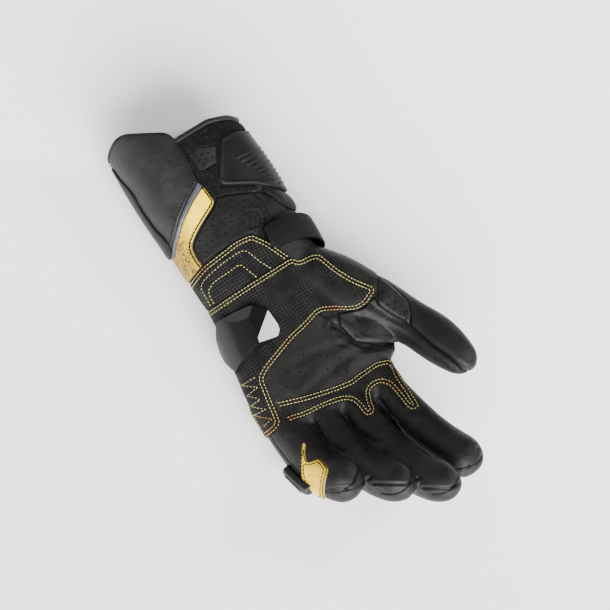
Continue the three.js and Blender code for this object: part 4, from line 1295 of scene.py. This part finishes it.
gloss_plastic = finish("gloss_plastic", (0.003, 0.003, 0.0034), worn_gloss, Specular_IOR_Level=0.3)
slider_block = bmesh.new()
base = slider_block.faces.new([slider_block.verts.new(on_layout(*p, SLIDER_FOOT)) for p in SLIDER_RIM])
raised = bmesh.ops.extrude_face_region(slider_block, geom=[base])["geom"]
raised = [item for item in raised if isinstance(item, bmesh.types.BMVert)]
bmesh.ops.translate(slider_block, verts=raised, vec=OUT * (SLIDER_TALL - SLIDER_FOOT))
crest = np.array([SLIDER["crest_start"], SLIDER["crest_end"]])
turns = np.linspace(0, FACE_TURN, FACE_STEPS)
face_curve = FACE_RADIUS * np.stack([0 * turns, -np.sin(turns), np.cos(turns) - 1], 1)
bands = zip(face_curve, face_curve[1:])
round_face = [[crest[0] + here, crest[1] + here, crest[1] + there] for here, there in bands]
for plane in SLIDER_FACETS + round_face:
    first, second, third = (on_layout(*point) for point in plane)
    normal = np.cross(second - first, third - first)
    normal *= np.sign(normal @ OUT)
    everything = slider_block.verts[:] + slider_block.edges[:] + slider_block.faces[:]
    bmesh.ops.bisect_plane(slider_block, geom=everything, plane_co=first, plane_no=normal, clear_outer=True)
    bmesh.ops.holes_fill(slider_block, edges=[edge for edge in slider_block.edges if edge.is_boundary])
bmesh.ops.recalc_face_normals(slider_block, faces=slider_block.faces)
for vertex in slider_block.verts:
    vertex.co = placed(vertex.co)
slider_mesh = bpy.data.meshes.new("palm_slider")
slider_block.to_mesh(slider_mesh)
slider_block.free()
slider_mesh.shade_smooth()
slider = bpy.data.objects.new("palm_slider", slider_mesh)
bpy.context.scene.collection.objects.link(slider)
bevel = slider.modifiers.new("bevel", "BEVEL")
bevel.width = SLIDER_BEVEL * MM
bevel.segments = 3
bevel.limit_method = "ANGLE"
bevel.angle_limit = math.radians(SLIDER_SHARPEST)
bevel.harden_normals = True
final = bpy.data.meshes.new_from_object(slider.evaluated_get(bpy.context.evaluated_depsgraph_get()))
slider.modifiers.clear()
slider.data = final
final.materials.append(gloss_plastic)
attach(slider, "root")
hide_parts("palm_slider")

# Rows of thread that follow no panel's edge, drawn on the layout plane: those of the heel, the zigzag
# that holds the slider's patch, and the black ones of the thumb, the index finger and the root of the
# little finger.
rows_tree = BVHTree.FromPolygons(skin.tolist(), skin_triangles.tolist())


def traced(line, step=0.8):
    """A line on the layout plane as rows of the skin under it."""
    line = np.asarray(line, float)
    length = np.concatenate([[0], np.cumsum(np.linalg.norm(np.diff(line, axis=0), axis=1))])
    found = []
    for s in np.arange(0, length[-1] + step / 2, step):
        a, b = (np.interp(s, length, line[:, k]) for k in range(2))
        place, normal, *_ = rows_tree.ray_cast(Vector(on_layout(a, b, 120)), Vector(-OUT))
        if place is not None:
            found.append([*place, *normal])
    return np.array(found)


HEEL_ROWS = [
    [(6.5, -41.0), (-3.8, -40.5), (-8.4, -40.0), (-11.6, -34.6), (-14.1, -20.5), (-14.5, -4.3),
     (-12.2, -0.8), (-1.8, 2.4), (7, 6.4)],
    [(6.5, -38.3), (0.3, -38.1), (-3.8, -36.7), (-6.4, -30.5), (-7.1, -10.9), (-5.9, -9.1), (7, -5)],
]
ZIGZAG = [
    (64.4, -42.2), (64.1, -52.9), (71, -44.9), (72.3, -53.2), (79.2, -47.7), (79.3, -55.3), (86.7, -48.4),
    (85.7, -56.9), (94.7, -48.2), (96, -55.2),
]
top_of_patch = PATCH_LIFT + PATCH - 0.1
sewn = [stitch for line in HEEL_ROWS for stitch in stitches(traced(rounded(line, 2.5)), top_of_patch)]
add_parts("heel_thread", sewn, thread_yellow, "gold_leather")
add_parts("zigzag_thread", stitches(traced(ZIGZAG), top_of_patch), thread_yellow, "gold_leather")

LONG_SEAM = [(65.4, 53.1), (79.7, 59.7), *THUMB_SEAM]
BLACK_ROWS = [
    [(a, b - 2) for a, b in LONG_SEAM],
    [(a, b - 4.2) for a, b in LONG_SEAM],
    [(155.9, 29.4), (153.5, 35), (150, 40.7)],
    [(103, -43.1), (110, -41.3), (118.3, -38.9)],
]
# How far in from a panel's edge the black rows run, and their thicker and longer stitches
FLAP_ROW, GOLD_HEM_ROW, FACING_ROW = 2.0, 1.4, 1.3
FLAP_STITCH_THICK, GOLD_HEM_LONG, GOLD_HEM_THICK = 0.8, 2.6, 1.3
sewn = [stitch for line in BLACK_ROWS for stitch in stitches(traced(line), 0.05)]
sewn += edge_stitches(sheets["cuff_flap"], FLAP_ROW, FLAP_LIFT + FLAP, FLAP_STITCH_THICK)
rows, triangles, _ = sheets["cuff_gold_panel"]
hem = line_distance(*layout_of(rows)[:2], rounded(GOLD_PANEL[:7], 4)) - GOLD_HEM_ROW
for line in contour(rows, triangles, hem):
    sewn += stitches(smoothed(line), FLAP_LIFT + FLAP, GOLD_HEM_LONG, GOLD_HEM_THICK)
for name in ("wrist_perforated_panel", "inner_palm_panel"):
    sewn += edge_stitches(sheets[name], FACING_ROW, FLAP_LIFT + FACING - 0.2)
add_parts("black_seams_thread", sewn, thread_black, "black_leather")

# The punched holes, pressed through the thin leather before the panel is sewn in: each is a soft rim
# round a near-black disc, painted shade that stands for the depth of the hole. The palm's stand apart,
# the others in staggered rows.
HOLE = 0.6
# Rings of a rim: their share of the hole's radius, how far they stand off the leather
RIM = [(1.5, -0.12), (1.22, 0.09), (1, 0.05), (0.9, -0.1)]
hole_shade = finish("hole_shade", (0.0015, 0.0015, 0.0015), 0.9, Specular_IOR_Level=0.1)


def holes(name, places, height):
    """Rims round discs of painted shade, at places on the layout plane and a height over the skin."""
    rims, shade_discs = [], []
    turn = np.linspace(0, 2 * math.pi, 12, endpoint=False)
    for a, b in places:
        found = traced([(a, b), (a + 0.1, b)], 1)
        if not len(found):
            continue
        place, normal = found[0, :3], found[0, 3:]
        side = np.cross(normal, [0, 0, 1])
        side /= np.linalg.norm(side)
        rise = np.cross(normal, side)
        rings = []
        for share, level in RIM:
            around = np.outer(np.cos(turn), side) + np.outer(np.sin(turn), rise)
            rings.append(place + around * HOLE * share + normal * (height + level))
        rims.append(loft(rings))
        # A disc of painted shade over the hole, standing for its depth
        shade_discs.append(loft([place + (r - place) * 0.98 + normal * 0.09 for r in (rings[3], rings[2])]))
    add_parts(f"{name}_rims", rims, cowhide, "black_leather")
    add_parts(f"{name}_holes", shade_discs, hole_shade, "black_leather")


def staggered(outline, pitch, inset, turn):
    """Places in staggered rows inside an outline of the layout plane."""
    c, s = math.cos(math.radians(turn)), math.sin(math.radians(turn))
    field = within(outline)
    reach = int(140 / pitch)
    grid = []
    for i in range(-reach, reach):
        for j in range(-reach, reach):
            u, v = (i + (j % 2) / 2) * pitch, j * pitch * 0.87
            grid.append(on_layout(c * u - s * v, s * u + c * v))
    rows = np.array(grid)
    a, b, _ = layout_of(rows)
    keep = field(rows) > inset
    return list(zip(a[keep], b[keep]))


PALM_HOLES = [
    (69.3, -7.3), (79.2, 6.0), (85.1, 13.0), (73.6, -22.3), (78.3, -15.1), (82.8, -7.2), (86.8, 1.0),
    (91.7, 5.6), (82.0, -28.6), (85.9, -18.7), (74.2, -0.9), (90.2, 17.5), (95.5, 12),
]
# Staggered fields: outline, pitch, how far in from the outline, turn, highest place across, height
HOLE_FIELDS = {
    "thumb": (THUMB_PANEL, 5.4, 2.0, 20, 90, FACING_TOP),
    "wrist": (WRIST_PANEL, 5.0, 3.2, 28, 24, FLAP_LIFT + FACING),
    "window": (WINDOW, 4.6, 2.0, 10, 90, FLAP_LIFT + FACING - 0.3),
}
holes("palm", PALM_HOLES, FACING_TOP)
for name, (outline, pitch, inset, turn, highest, height) in HOLE_FIELDS.items():
    places = [(a, b) for a, b in staggered(outline, pitch, inset, turn) if b < highest]
    holes(name, places, height)
